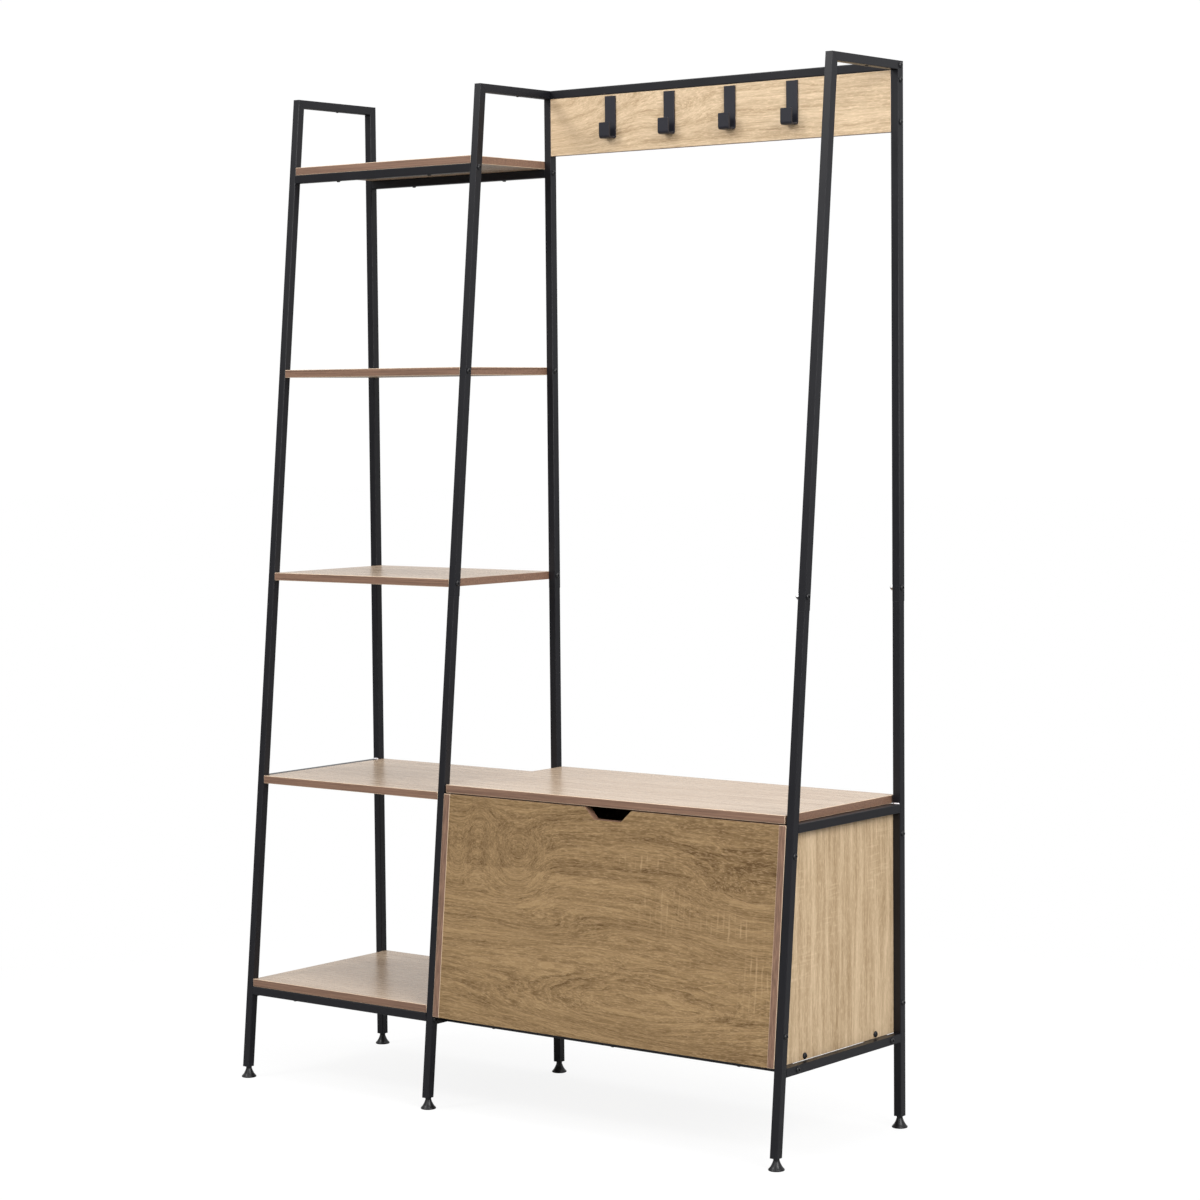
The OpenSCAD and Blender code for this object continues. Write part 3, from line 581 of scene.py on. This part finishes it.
def bolt_tree():
    """Button-head bolt: domed head above its seat, hexagon socket, shank below."""
    tree, w, source, sink = new_tree("Button head bolts", (
        "Head Radius", "Head Height", "Shank Radius", "Shank Length", "Socket Radius",
        "Sides", "Material"))
    get = source.outputs
    # the dome is a stack of short cones
    rings = []
    for (r0, h0), (r1, h1) in zip(BUTTON_DOME, BUTTON_DOME[1:]):
        ring = w.add("GeometryNodeMeshCone", {
            "Vertices": get["Sides"],
            "Radius Bottom": w.math("MULTIPLY", get["Head Radius"], r0),
            "Radius Top": w.math("MULTIPLY", get["Head Radius"], r1),
            "Depth": w.math("MULTIPLY", get["Head Height"], h1 - h0)},
            fill_type="NGON")
        lift = w.add("ShaderNodeCombineXYZ", {
            "Z": w.math("MULTIPLY", get["Head Height"], h0)})
        rings.append(w.add("GeometryNodeTransform", {
            "Geometry": ring.outputs[0], "Translation": lift.outputs[0]}).outputs[0])
    shank = w.add("GeometryNodeMeshCylinder", {
        "Vertices": get["Sides"], "Radius": get["Shank Radius"],
        "Depth": get["Shank Length"]})
    sink_by = w.add("ShaderNodeCombineXYZ", {
        "Z": w.math("MULTIPLY", get["Shank Length"], -0.4999)})
    rings.append(w.add("GeometryNodeTransform", {
        "Geometry": shank.outputs[0], "Translation": sink_by.outputs[0]}).outputs[0])
    whole = w.add("GeometryNodeMeshBoolean", operation="UNION")
    for ring in rings:
        tree.links.new(ring, whole.inputs[1])
    socket = w.add("GeometryNodeMeshCylinder", {
        "Vertices": 6, "Radius": get["Socket Radius"], "Depth": get["Head Height"]})
    raise_by = w.add("ShaderNodeCombineXYZ", {
        "Z": w.math("MULTIPLY", get["Head Height"], 0.86)})
    cutter = w.add("GeometryNodeTransform", {
        "Geometry": socket.outputs[0], "Translation": raise_by.outputs[0]})
    cut = w.add("GeometryNodeMeshBoolean", {0: whole.outputs[0]}, operation="DIFFERENCE")
    tree.links.new(cutter.outputs[0], cut.inputs[1])
    finish_tree(w, get["Geometry"], cut.outputs[0], source, sink)
    return tree


def screw_tree():
    """Pan-head screw with a cross recess: low dome above its seat, pointed shank below."""
    tree, w, source, sink = new_tree("Pan head screws", (
        "Head Radius", "Head Height", "Shank Radius", "Shank Length", "Sides", "Material"))
    get = source.outputs
    whole = w.add("GeometryNodeMeshBoolean", operation="UNION")
    for (r0, h0), (r1, h1) in zip(PAN_DOME, PAN_DOME[1:]):
        ring = w.add("GeometryNodeMeshCone", {
            "Vertices": get["Sides"],
            "Radius Bottom": w.math("MULTIPLY", get["Head Radius"], r0),
            "Radius Top": w.math("MULTIPLY", get["Head Radius"], r1),
            "Depth": w.math("MULTIPLY", get["Head Height"], h1 - h0)}, fill_type="NGON")
        lift = w.add("ShaderNodeCombineXYZ", {"Z": w.math("MULTIPLY", get["Head Height"], h0)})
        raised = w.add("GeometryNodeTransform", {
            "Geometry": ring.outputs[0], "Translation": lift.outputs[0]})
        tree.links.new(raised.outputs[0], whole.inputs[1])
    shank = w.add("GeometryNodeMeshCone", {
        "Vertices": get["Sides"], "Radius Bottom": w.math("MULTIPLY", get["Shank Radius"], 0.55),
        "Radius Top": get["Shank Radius"],
        "Depth": get["Shank Length"]}, fill_type="NGON")
    drop = w.add("ShaderNodeCombineXYZ", {"Z": w.math("MULTIPLY", get["Shank Length"], -0.9999)})
    lowered = w.add("GeometryNodeTransform", {
        "Geometry": shank.outputs[0], "Translation": drop.outputs[0]})
    tree.links.new(lowered.outputs[0], whole.inputs[1])
    slot_long = w.math("MULTIPLY", get["Head Radius"], 1.05)
    slot_wide = w.math("MULTIPLY", get["Head Radius"], 0.24)
    slot_deep = w.math("MULTIPLY", get["Head Height"], 1.1)
    raise_by = w.add("ShaderNodeCombineXYZ", {"Z": get["Head Height"]})
    cut = w.add("GeometryNodeMeshBoolean", {0: whole.outputs[0]}, operation="DIFFERENCE")
    for wide, deep in ((slot_long, slot_wide), (slot_wide, slot_long)):
        size = w.add("ShaderNodeCombineXYZ", {0: wide, 1: deep, 2: slot_deep})
        bar = w.add("GeometryNodeMeshCube", {"Size": size.outputs[0]})
        moved = w.add("GeometryNodeTransform", {
            "Geometry": bar.outputs[0], "Translation": raise_by.outputs[0]})
        tree.links.new(moved.outputs[0], cut.inputs[1])
    finish_tree(w, get["Geometry"], cut.outputs[0], source, sink)
    return tree


def bead_tree():
    """Weld beads or plugs: one flattened blob on each point."""
    tree, w, source, sink = new_tree("Weld beads", ("Blob Radius", "Flatness", "Material"))
    get = source.outputs
    ball = w.add("GeometryNodeMeshIcoSphere", {"Radius": get["Blob Radius"],
                                               "Subdivisions": 3})
    shape = w.add("ShaderNodeCombineXYZ", {"X": 1.0, "Y": 1.0, "Z": get["Flatness"]})
    flat = w.add("GeometryNodeTransform", {"Geometry": ball.outputs[0],
                                           "Scale": shape.outputs[0]})
    finish_tree(w, get["Geometry"], flat.outputs[0], source, sink)
    return tree


def grown(name, tree, points, values, body):
    """Runs a tree on (place, turn) points and keeps the result as a plain mesh."""
    seed = bpy.data.meshes.new(name + "_points")
    seed.from_pydata([p for p, _ in points], [], [])
    turns = seed.attributes.new("turn", "FLOAT_VECTOR", "POINT")
    for item, (_, turn) in zip(turns.data, points):
        item.vector = turn
    holder = bpy.data.objects.new(name + "_source", seed)
    bpy.context.scene.collection.objects.link(holder)
    modifier = holder.modifiers.new("Grow", "NODES")
    modifier.node_group = tree
    for label, value in values.items():
        modifier[socket_id(tree, label)] = value
    holder.update_tag()
    bpy.context.view_layer.update()
    graph = bpy.context.evaluated_depsgraph_get()
    mesh = bpy.data.meshes.new_from_object(holder.evaluated_get(graph), depsgraph=graph)
    if not mesh.polygons:
        raise RuntimeError(name + " came out empty")
    holder.modifiers.remove(modifier)
    bpy.data.objects.remove(holder)
    bpy.data.meshes.remove(seed)
    mesh.name = name
    if "turn" in mesh.attributes:
        mesh.attributes.remove(mesh.attributes["turn"])
    mesh.shade_smooth()
    mesh.set_sharp_from_angle(angle=math.radians(35))
    piece = bpy.data.objects.new(name, mesh)
    bpy.context.scene.collection.objects.link(piece)
    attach(piece, body)
    return piece


# ---------------------------------------------------------------- operators

def board_face_kind(normal, thin_axis):
    """0 for the two large faces, 1 for the banded edges."""
    return 0 if abs(normal[thin_axis]) > 0.9 else 1


def make_board(node, face, band, line, thin_axis, arris):
    """A board with banded edges and eased arrises, the arrises coloured lighter as a painted
    highlight.
    """
    work = merged_copy(node)
    for poly in work.faces:
        poly.material_index = board_face_kind(poly.normal, thin_axis)

    def outer(edge):
        turned = edge.calc_face_angle(0.0)
        return 1.0 if edge.calc_length() > BOARD_EDGE and turned > math.radians(50) else 0.0

    weigh_edges(work, outer)
    piece = piece_from(work, node + "_board", node, [face, band, line])
    # the bevel faces take material 2, the painted arris highlight
    add_bevel(piece, arris, 2, material=2)
    return piece


class HALLTREE_OT_tubes(bpy.types.Operator):
    """Dress the square-tube frames and rails with rounded corners and powder coat"""
    bl_idname = "hall_tree.tubes"
    bl_label = "Tube frames"

    def execute(self, context):
        finish = context.scene.hall_tree_frame
        coat = material_named("powder_coat_black", lambda n: coat_material(
            n, finish.coat, finish.coat_rough))
        for node in TUBE_NODES:
            work = merged_copy(node)

            def share(edge):
                size = edge.calc_length()
                if edge.calc_face_angle(0.0) < math.radians(40):
                    return 0.0
                if size > LONG_EDGE:
                    return 1.0
                return END_SHARE if size > END_EDGE else 0.0

            weigh_edges(work, share)
            piece = piece_from(work, node + "_tube", node, [coat])
            add_bevel(piece, finish.corner, 3)
        return {"FINISHED"}


class HALLTREE_OT_shelves(bpy.types.Operator):
    """Dress the five tower shelves and the seat lid as oak laminate boards"""
    bl_idname = "hall_tree.shelves"
    bl_label = "Shelves and lid"

    def execute(self, context):
        finish = context.scene.hall_tree_boards
        band = material_named("edge_band_x", lambda n: band_material(
            n, finish.band_light, finish.band_dark, GRAIN_X))
        # line: the painted highlight along the eased arrises
        line = material_named("edge_line", lambda n: arris_highlight_material(n, finish.line))
        for number, node in enumerate(SHELF_NODES + ["seat_lid"]):
            face = material_named("oak_top_" + node, lambda n: oak_material(
                n, finish.top_light, finish.top_dark, GRAIN_X, 0.37 * number + 0.2,
                lines=30.0, sway=0.05, figure=0.30, streaks=1.1, fine=0.55, gloss=0.28))
            make_board(node, face, band, line, 2, finish.arris)
        return {"FINISHED"}


class HALLTREE_OT_bench_box(bpy.types.Operator):
    """Dress the five panels of the bench box"""
    bl_idname = "hall_tree.bench_box"
    bl_label = "Bench box"

    def execute(self, context):
        finish = context.scene.hall_tree_boards
        band_x = material_named("edge_band_x", lambda n: band_material(
            n, finish.band_light, finish.band_dark, GRAIN_X))
        band_z = material_named("edge_band_z", lambda n: band_material(
            n, finish.band_light, finish.band_dark, GRAIN_Z))
        # line: the painted highlight along the eased arrises
        line = material_named("edge_line", lambda n: arris_highlight_material(n, finish.line))
        front = material_named("oak_front", lambda n: oak_material(
            n, finish.front_light, finish.front_dark, GRAIN_X, 1.9, lines=70.0, sway=0.10,
            figure=0.75, gloss=0.52, planks=FRONT_PLANKS, eyes=FRONT_EYES,
            saw_patches=FRONT_SAW))
        make_board("front_panel", front, band_x, line, 1, finish.arris)
        for number, node in enumerate(("left_side_panel", "right_side_panel")):
            face = material_named("oak_" + node, lambda n: oak_material(
                n, finish.side_light, finish.side_dark, GRAIN_Z, 0.8 + number, lines=34.0,
                sway=0.035, figure=0.32, streaks=1.5, fine=0.7, gloss=0.52, saw=0.16))
            make_board(node, face, band_z, line, 0, finish.arris)
        plain = material_named("oak_inner", lambda n: oak_material(
            n, finish.side_light, finish.side_dark, GRAIN_X, 2.7, figure=0.5, gloss=0.5))
        make_board("back_panel", plain, band_x, line, 1, finish.arris)
        make_board("bottom_panel", plain, band_x, line, 2, finish.arris)
        return {"FINISHED"}


class HALLTREE_OT_hook_board(bpy.types.Operator):
    """Dress the board that carries the coat hooks"""
    bl_idname = "hall_tree.hook_board"
    bl_label = "Hook board"

    def execute(self, context):
        finish = context.scene.hall_tree_boards
        band = material_named("edge_band_x", lambda n: band_material(
            n, finish.band_light, finish.band_dark, GRAIN_X))
        # line: the painted highlight along the eased arrises
        line = material_named("edge_line", lambda n: arris_highlight_material(n, finish.line))
        face = material_named("oak_hook_board", lambda n: oak_material(
            n, finish.hook_light, finish.hook_dark, GRAIN_X, 4.3, lines=80.0, sway=0.06,
            figure=0.40, fine=0.75, gloss=0.52, eyes=BOARD_EYES))
        make_board("hook_board", face, band, line, 1, finish.arris)
        return {"FINISHED"}


class HALLTREE_OT_hooks(bpy.types.Operator):
    """Dress the four bent-strap coat hooks"""
    bl_idname = "hall_tree.hooks"
    bl_label = "Coat hooks"

    def execute(self, context):
        finish = context.scene.hall_tree_frame
        coat = material_named("hook_coat_black", lambda n: coat_material(
            n, tuple(c * 2.6 for c in finish.coat), finish.coat_rough + 0.04))
        for node in HOOK_NODES:
            work = merged_copy(node)
            piece = piece_from(work, node + "_strap", node, [coat])
            add_bevel(piece, 0.45 * MM, 2, limit="ANGLE")
        return {"FINISHED"}


def fastener_axes(node):
    """(seat, turn, length, head radius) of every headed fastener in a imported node."""
    found = []
    for verts in islands(node):
        lo = Vector(map(min, *verts))
        hi = Vector(map(max, *verts))
        size = hi - lo
        run = max(range(3), key=lambda k: size[k])
        if size[run] < 9 * MM:
            continue
        side, other = [k for k in range(3) if k != run]
        mid = (lo + hi) / 2
        widest = max(size[side], size[other]) / 2
        head = [v[run] for v in verts if math.hypot(
            v[side] - mid[side], v[other] - mid[other]) > widest - 0.1 * MM]
        at_low = sum(head) / len(head) < mid[run]
        seat = mid.copy()
        seat[run] = max(head) if at_low else min(head)
        reach = (hi[run] - seat[run]) if at_low else (seat[run] - lo[run])
        turn = ((0.0, -math.pi / 2, 0.0) if at_low else (0.0, math.pi / 2, 0.0),
                (math.pi / 2, 0.0, 0.0) if at_low else (-math.pi / 2, 0.0, 0.0),
                (math.pi, 0.0, 0.0) if at_low else (0.0, 0.0, 0.0))[run]
        found.append((tuple(seat), turn, round(reach / MM, 1), round(widest / MM, 1)))
    return found


def grow_fasteners(node, label, tree, choose, body, values, material):
    """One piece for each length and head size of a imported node's fasteners."""
    groups = {}
    for seat, turn, reach, widest in fastener_axes(node):
        if choose(widest):
            groups.setdefault((reach, widest), []).append((seat, turn))
    if not groups:
        raise RuntimeError("no " + label + " found in " + node)
    for (reach, widest), points in sorted(groups.items()):
        name = "%s_%smm" % (label, str(reach).replace(".", "_"))
        piece = grown(name, tree, points, {
            **values(widest * MM), "Shank Length": reach * MM, "Material": material}, body)
        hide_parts(node)


class HALLTREE_OT_bolts(bpy.types.Operator):
    """Grow the button-head frame bolts, the panel screws and the joint nuts"""
    bl_idname = "hall_tree.bolts"
    bl_label = "Frame bolts"

    def execute(self, context):
        finish = context.scene.hall_tree_hardware
        coat = material_named("bolt_black", lambda n: coat_material(
            n, (0.010, 0.010, 0.011), 0.28, 0.03))
        steel = material_named("zinc_bright", lambda n: steel_material(
            n, context.scene.hall_tree_frame.steel, 0.30))

        def is_bolt(head_r):
            return BOLT_HEADS[0] < head_r < BOLT_HEADS[1]

        grow_fasteners("frame_bolts", "bolts", bolt_tree(), is_bolt, "stand",
                       lambda r: {
                           "Head Radius": finish.head_r, "Head Height": finish.head_h,
                           "Shank Radius": finish.shank_r, "Socket Radius": finish.socket_r,
                           "Sides": finish.sides}, coat)
        grow_fasteners("frame_bolts", "panel_screws", screw_tree(),
                       lambda r: not is_bolt(r),
                       "stand", lambda r: {
                           "Head Radius": r, "Head Height": r * 0.6,
                           "Shank Radius": finish.screw_r, "Sides": finish.sides}, coat)
        work = bmesh.new()
        for verts in islands("frame_bolts"):
            lo = Vector(map(min, *verts))
            hi = Vector(map(max, *verts))
            if hi.x - lo.x > 8 * MM:
                continue
            centre = (lo + hi) / 2
            loops = []
            for radius, depth in NUT_RINGS:
                loops.append([work.verts.new(centre + Vector((
                    depth * MM, radius * MM * math.cos(math.pi / 3 * k),
                    radius * MM * math.sin(math.pi / 3 * k)))) for k in range(6)])
            for first, second in zip(loops, loops[1:] + loops[:1]):
                for k in range(6):
                    work.faces.new((first[k], first[(k + 1) % 6],
                                    second[(k + 1) % 6], second[k]))
        bmesh.ops.recalc_face_normals(work, faces=work.faces)
        piece_from(work, "joint_nuts", "frame_bolts", [steel])
        return {"FINISHED"}


class HALLTREE_OT_feet(bpy.types.Operator):
    """Turn the six levelling feet: base disc, skirt, neck and stem"""
    bl_idname = "hall_tree.feet"
    bl_label = "Levelling feet"

    def execute(self, context):
        finish = context.scene.hall_tree_frame
        plastic = material_named("foot_plastic_black", lambda n: coat_material(
            n, finish.plastic, 0.34, 0.03))
        for node in FOOT_NODES:
            lo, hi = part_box(node)
            centre = Vector(((lo.x + hi.x) / 2, (lo.y + hi.y) / 2, lo.z))
            work = spun([(r * MM, z * MM) for r, z in FOOT_PROFILE], centre, 36)
            piece_from(work, node + "_turned", node, [plastic])
        return {"FINISHED"}


class HALLTREE_OT_hinges(bpy.types.Operator):
    """Dress the lid hinges and grow the screws of hinges, rails and hooks"""
    bl_idname = "hall_tree.hinges"
    bl_label = "Hinges and screws"

    def execute(self, context):
        zinc = material_named("zinc_bright", lambda n: steel_material(
            n, context.scene.hall_tree_frame.steel, 0.30))
        dark = material_named("screw_dark", lambda n: coat_material(
            n, (0.02, 0.02, 0.021), 0.35, 0.03))
        for node in ("hinge_fixed_leaves", "hinge_lid_leaves"):
            piece = piece_from(merged_copy(node), node + "_steel", node, [zinc])
            add_bevel(piece, 0.25 * MM, 2, limit="ANGLE")
        piece = piece_from(merged_copy("hinge_pins"), "hinge_pins_steel", "hinge_pins",
                           [zinc])
        add_bevel(piece, 0.2 * MM, 2, limit="ANGLE")
        finish = context.scene.hall_tree_hardware
        tree = screw_tree()

        def sizes(head_r):
            return {"Head Radius": head_r, "Head Height": head_r * 0.45 if head_r < 3 * MM
                    else head_r * 0.6, "Shank Radius": finish.screw_r * head_r / (PAN_HEAD * MM),
                    "Sides": finish.sides}

        grow_fasteners("lid_hinge_screws", "lid_screws", tree, lambda r: True, "lid",
                       sizes, zinc)
        grow_fasteners("small_screws", "hinge_screws", tree,
                       lambda r: r < HINGE_HEADS_UNDER, "stand",
                       sizes, zinc)
        grow_fasteners("small_screws", "rail_screws", tree,
                       lambda r: r > HINGE_HEADS_UNDER, "stand",
                       sizes, dark)
        return {"FINISHED"}


class HALLTREE_OT_small_parts(bpy.types.Operator):
    """Finish the inner plugs, sleeves, inserts and the lid bumpers"""
    bl_idname = "hall_tree.small_parts"
    bl_label = "Inner parts"

    def execute(self, context):
        finish = context.scene.hall_tree_frame
        plastic = material_named("foot_plastic_black", lambda n: coat_material(
            n, finish.plastic, 0.34, 0.03))
        rubber = material_named("bumper_rubber", lambda n: coat_material(
            n, (0.02, 0.02, 0.02), 0.75, 0.15))
        zinc = material_named("zinc_bright", lambda n: steel_material(n, finish.steel, 0.30))
        for node, finish_now in (("foot_sockets", plastic), ("leg_sleeves", zinc),
                                 ("threaded_inserts", zinc)):
            data = NODES[node].data
            data.materials.clear()
            data.materials.append(finish_now)
        piece = piece_from(merged_copy("lid_bumpers"), "lid_bumpers_soft", "lid_bumpers",
                           [rubber])
        add_bevel(piece, 0.4 * MM, 2, limit="ANGLE")
        return {"FINISHED"}


class HALLTREE_OT_welds(bpy.types.Operator):
    """Lay the bright weld beads above the seat crossbars and the plugs under the top bars"""
    bl_idname = "hall_tree.welds"
    bl_label = "Welds and plugs"

    def execute(self, context):
        hardware = context.scene.hall_tree_hardware
        bare = material_named("bare_weld", lambda n: steel_material(n, (0.90, 0.86, 0.88), 0.38))
        plastic = material_named("foot_plastic_black", lambda n: coat_material(
            n, context.scene.hall_tree_frame.plastic, 0.34, 0.03))
        tree = bead_tree()
        beads, plugs = [], []
        for side in SIDES:
            lo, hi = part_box(side + "_seat_crossbar")
            leg_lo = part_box(side + "_rear_leg_lower")[0]
            for k in range(7):
                at = lo.x + (3.0 + 1.5 * k) * MM
                beads.append(((at, leg_lo.y - 0.2 * MM, hi.z + 0.5 * MM),
                              (math.radians(45 + 6 * (k % 3)), 0.0, 0.0)))
            bar_lo, bar_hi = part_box(side + "_top_bar")
            plugs.append((((bar_lo.x + bar_hi.x) / 2, (bar_lo.y + bar_hi.y) / 2 + 6 * MM,
                           bar_lo.z - 0.2 * MM), (0.0, 0.0, 0.0)))
        piece = grown("weld_beads", tree, beads, {
            "Blob Radius": hardware.bead_r, "Flatness": 0.8, "Material": bare}, "stand")
        piece = grown("top_bar_plugs", tree, plugs, {
            "Blob Radius": 3.0 * MM, "Flatness": 0.5, "Material": plastic}, "stand")
        return {"FINISHED"}


def area_light(name, place, target, size, power):
    """A soft rectangular lamp at place, facing target."""
    data = bpy.data.lights.new(name, "AREA")
    data.shape = "RECTANGLE"
    data.size, data.size_y = size
    data.energy = power
    lamp = bpy.data.objects.new(name, data)
    bpy.context.scene.collection.objects.link(lamp)
    lamp.location = place
    aim = Vector(target) - Vector(place)
    lamp.rotation_euler = aim.to_track_quat("-Z", "Y").to_euler()


class HALLTREE_OT_stage(bpy.types.Operator):
    """Set up the pale floor, the soft studio light and the camera"""
    bl_idname = "hall_tree.stage"
    bl_label = "Stage"

    def execute(self, context):
        scene = context.scene
        finish = scene.hall_tree_stage
        scene.view_settings.view_transform = "Standard"
        scene.view_settings.look = "None"
        half = 30.0
        mesh = bpy.data.meshes.new("floor")
        mesh.from_pydata([(-half, -half, 0), (half, -half, 0), (half, half, 0),
                          (-half, half, 0)], [], [(0, 1, 2, 3)])
        material, w, shader = new_material("pale_floor")
        shader.inputs["Base Color"].default_value = rgba(finish.floor)
        shader.inputs["Roughness"].default_value = 0.9
        shader.inputs["Specular IOR Level"].default_value = 0.1
        # the camera sees the floor run out into white; to the piece it is a dimmer floor
        place = w.add("ShaderNodeTexCoord").outputs["Object"]
        away = w.add("ShaderNodeVectorMath", {0: place}, operation="LENGTH").outputs["Value"]
        fade = w.ramp(w.math("MULTIPLY", away, 0.25), [(0.05, 0.86), (0.45, 1.0)])
        glow = w.add("ShaderNodeEmission", {"Color": (1, 1, 1, 1), "Strength": 1.0})
        shown = w.add("ShaderNodeMixShader", {0: fade, 1: shader.outputs[0],
                                              2: glow.outputs[0]})
        dim = w.add("ShaderNodeBsdfDiffuse", {"Color": rgba((0.32, 0.32, 0.32))})
        seen = w.add("ShaderNodeLightPath").outputs["Is Camera Ray"]
        blend = w.add("ShaderNodeMixShader", {0: seen, 1: dim.outputs[0],
                                              2: shown.outputs[0]})
        sink = next(n for n in material.node_tree.nodes if n.type == "OUTPUT_MATERIAL")
        w.feed(sink.inputs["Surface"], blend.outputs[0])
        mesh.materials.append(material)
        floor = bpy.data.objects.new("floor", mesh)
        scene.collection.objects.link(floor)

        world = bpy.data.worlds.new("pale surround")
        scene.world = world
        world.use_nodes = True
        world.node_tree.nodes.clear()
        w = Wiring(world.node_tree)
        # white as the camera sees it; to the piece, pale behind and above, dark in front
        parts = w.add("ShaderNodeSeparateXYZ", {
            0: w.add("ShaderNodeTexCoord").outputs["Generated"]})
        high = w.ramp(w.math("MULTIPLY_ADD", parts.outputs[2], 0.5, 0.5),
                      [(0.50, 0.06), (0.60, 0.85)])
        behind = w.ramp(w.math("MULTIPLY_ADD", parts.outputs[1], 0.5, 0.5),
                        [(0.40, 0.0), (0.62, 0.85)])
        room = w.math("MAXIMUM", high, behind)
        seen = w.add("ShaderNodeLightPath").outputs["Is Camera Ray"]
        shown = w.mix(seen, room, (1.12, 1.12, 1.12))
        back = w.add("ShaderNodeBackground", {"Color": shown, "Strength": finish.sky})
        out = w.add("ShaderNodeOutputWorld")
        w.feed(out.inputs["Surface"], back.outputs[0])

        lo, hi = CAD_BOX
        middle = (lo + hi) / 2
        area_light("key_right", (3.8, -1.4, 2.8), middle, (2.4, 2.4), finish.key)
        area_light("key_left", (-1.7, -2.6, 3.6), middle, (0.9, 0.9), finish.fill * 0.6)
        area_light("fill_front", (0.4, -4.6, 2.6), middle, (3.0, 2.0), finish.fill * 0.5)
        area_light("top_soft", (0.0, 0.2, 4.2), middle, (3.5, 2.5), finish.fill * 0.9)

        data = bpy.data.cameras.new("camera")
        data.sensor_width = 36.0
        data.lens = finish.lens
        data.clip_start, data.clip_end = 0.1, 60.0
        camera = bpy.data.objects.new("camera", data)
        scene.collection.objects.link(camera)
        turn, tilt, roll = (math.radians(a) for a in (
            finish.azimuth, finish.pitch, finish.roll))
        forward = Vector((-math.sin(turn) * math.cos(tilt),
                          math.cos(turn) * math.cos(tilt), math.sin(tilt)))
        right = Vector((math.cos(turn), math.sin(turn), 0.0))
        up = right.cross(forward)
        right, up = (right * math.cos(roll) + up * math.sin(roll),
                     up * math.cos(roll) - right * math.sin(roll))
        basis = Matrix((right, up, -forward)).transposed().to_4x4()
        camera.matrix_world = Matrix.Translation(Vector(finish.eye)) @ basis
        scene.camera = camera
        return {"FINISHED"}


OPERATORS = (HALLTREE_OT_tubes, HALLTREE_OT_shelves, HALLTREE_OT_bench_box,
             HALLTREE_OT_hook_board, HALLTREE_OT_hooks, HALLTREE_OT_bolts,
             HALLTREE_OT_feet, HALLTREE_OT_hinges,
             HALLTREE_OT_small_parts, HALLTREE_OT_welds, HALLTREE_OT_stage)


class HALLTREE_PT_panel(bpy.types.Panel):
    """Lists the operators that dress the hall tree"""
    bl_idname = "HALLTREE_PT_panel"
    bl_label = "Hall Tree"
    bl_space_type = "VIEW_3D"
    bl_region_type = "UI"
    bl_category = "Hall Tree"

    def draw(self, context):
        for operator in OPERATORS:
            self.layout.operator(operator.bl_idname)


PROPERTY_GROUPS = (("hall_tree_frame", FrameFinish), ("hall_tree_boards", BoardFinish),
                   ("hall_tree_hardware", HardwareFinish), ("hall_tree_stage", StageFinish))


def register():
    for name, group in PROPERTY_GROUPS:
        bpy.utils.register_class(group)
        setattr(bpy.types.Scene, name, PointerProperty(type=group))
    for operator in OPERATORS:
        bpy.utils.register_class(operator)
    bpy.utils.register_class(HALLTREE_PT_panel)


def unregister():
    bpy.utils.unregister_class(HALLTREE_PT_panel)
    for operator in reversed(OPERATORS):
        bpy.utils.unregister_class(operator)
    for name, group in reversed(PROPERTY_GROUPS):
        delattr(bpy.types.Scene, name)
        bpy.utils.unregister_class(group)


def main():
    register()
    for operator in OPERATORS:
        group, name = operator.bl_idname.split(".")
        if getattr(getattr(bpy.ops, group), name)() != {"FINISHED"}:
            raise RuntimeError(operator.bl_label + " did not finish")


if __name__ == "__main__":
    main()
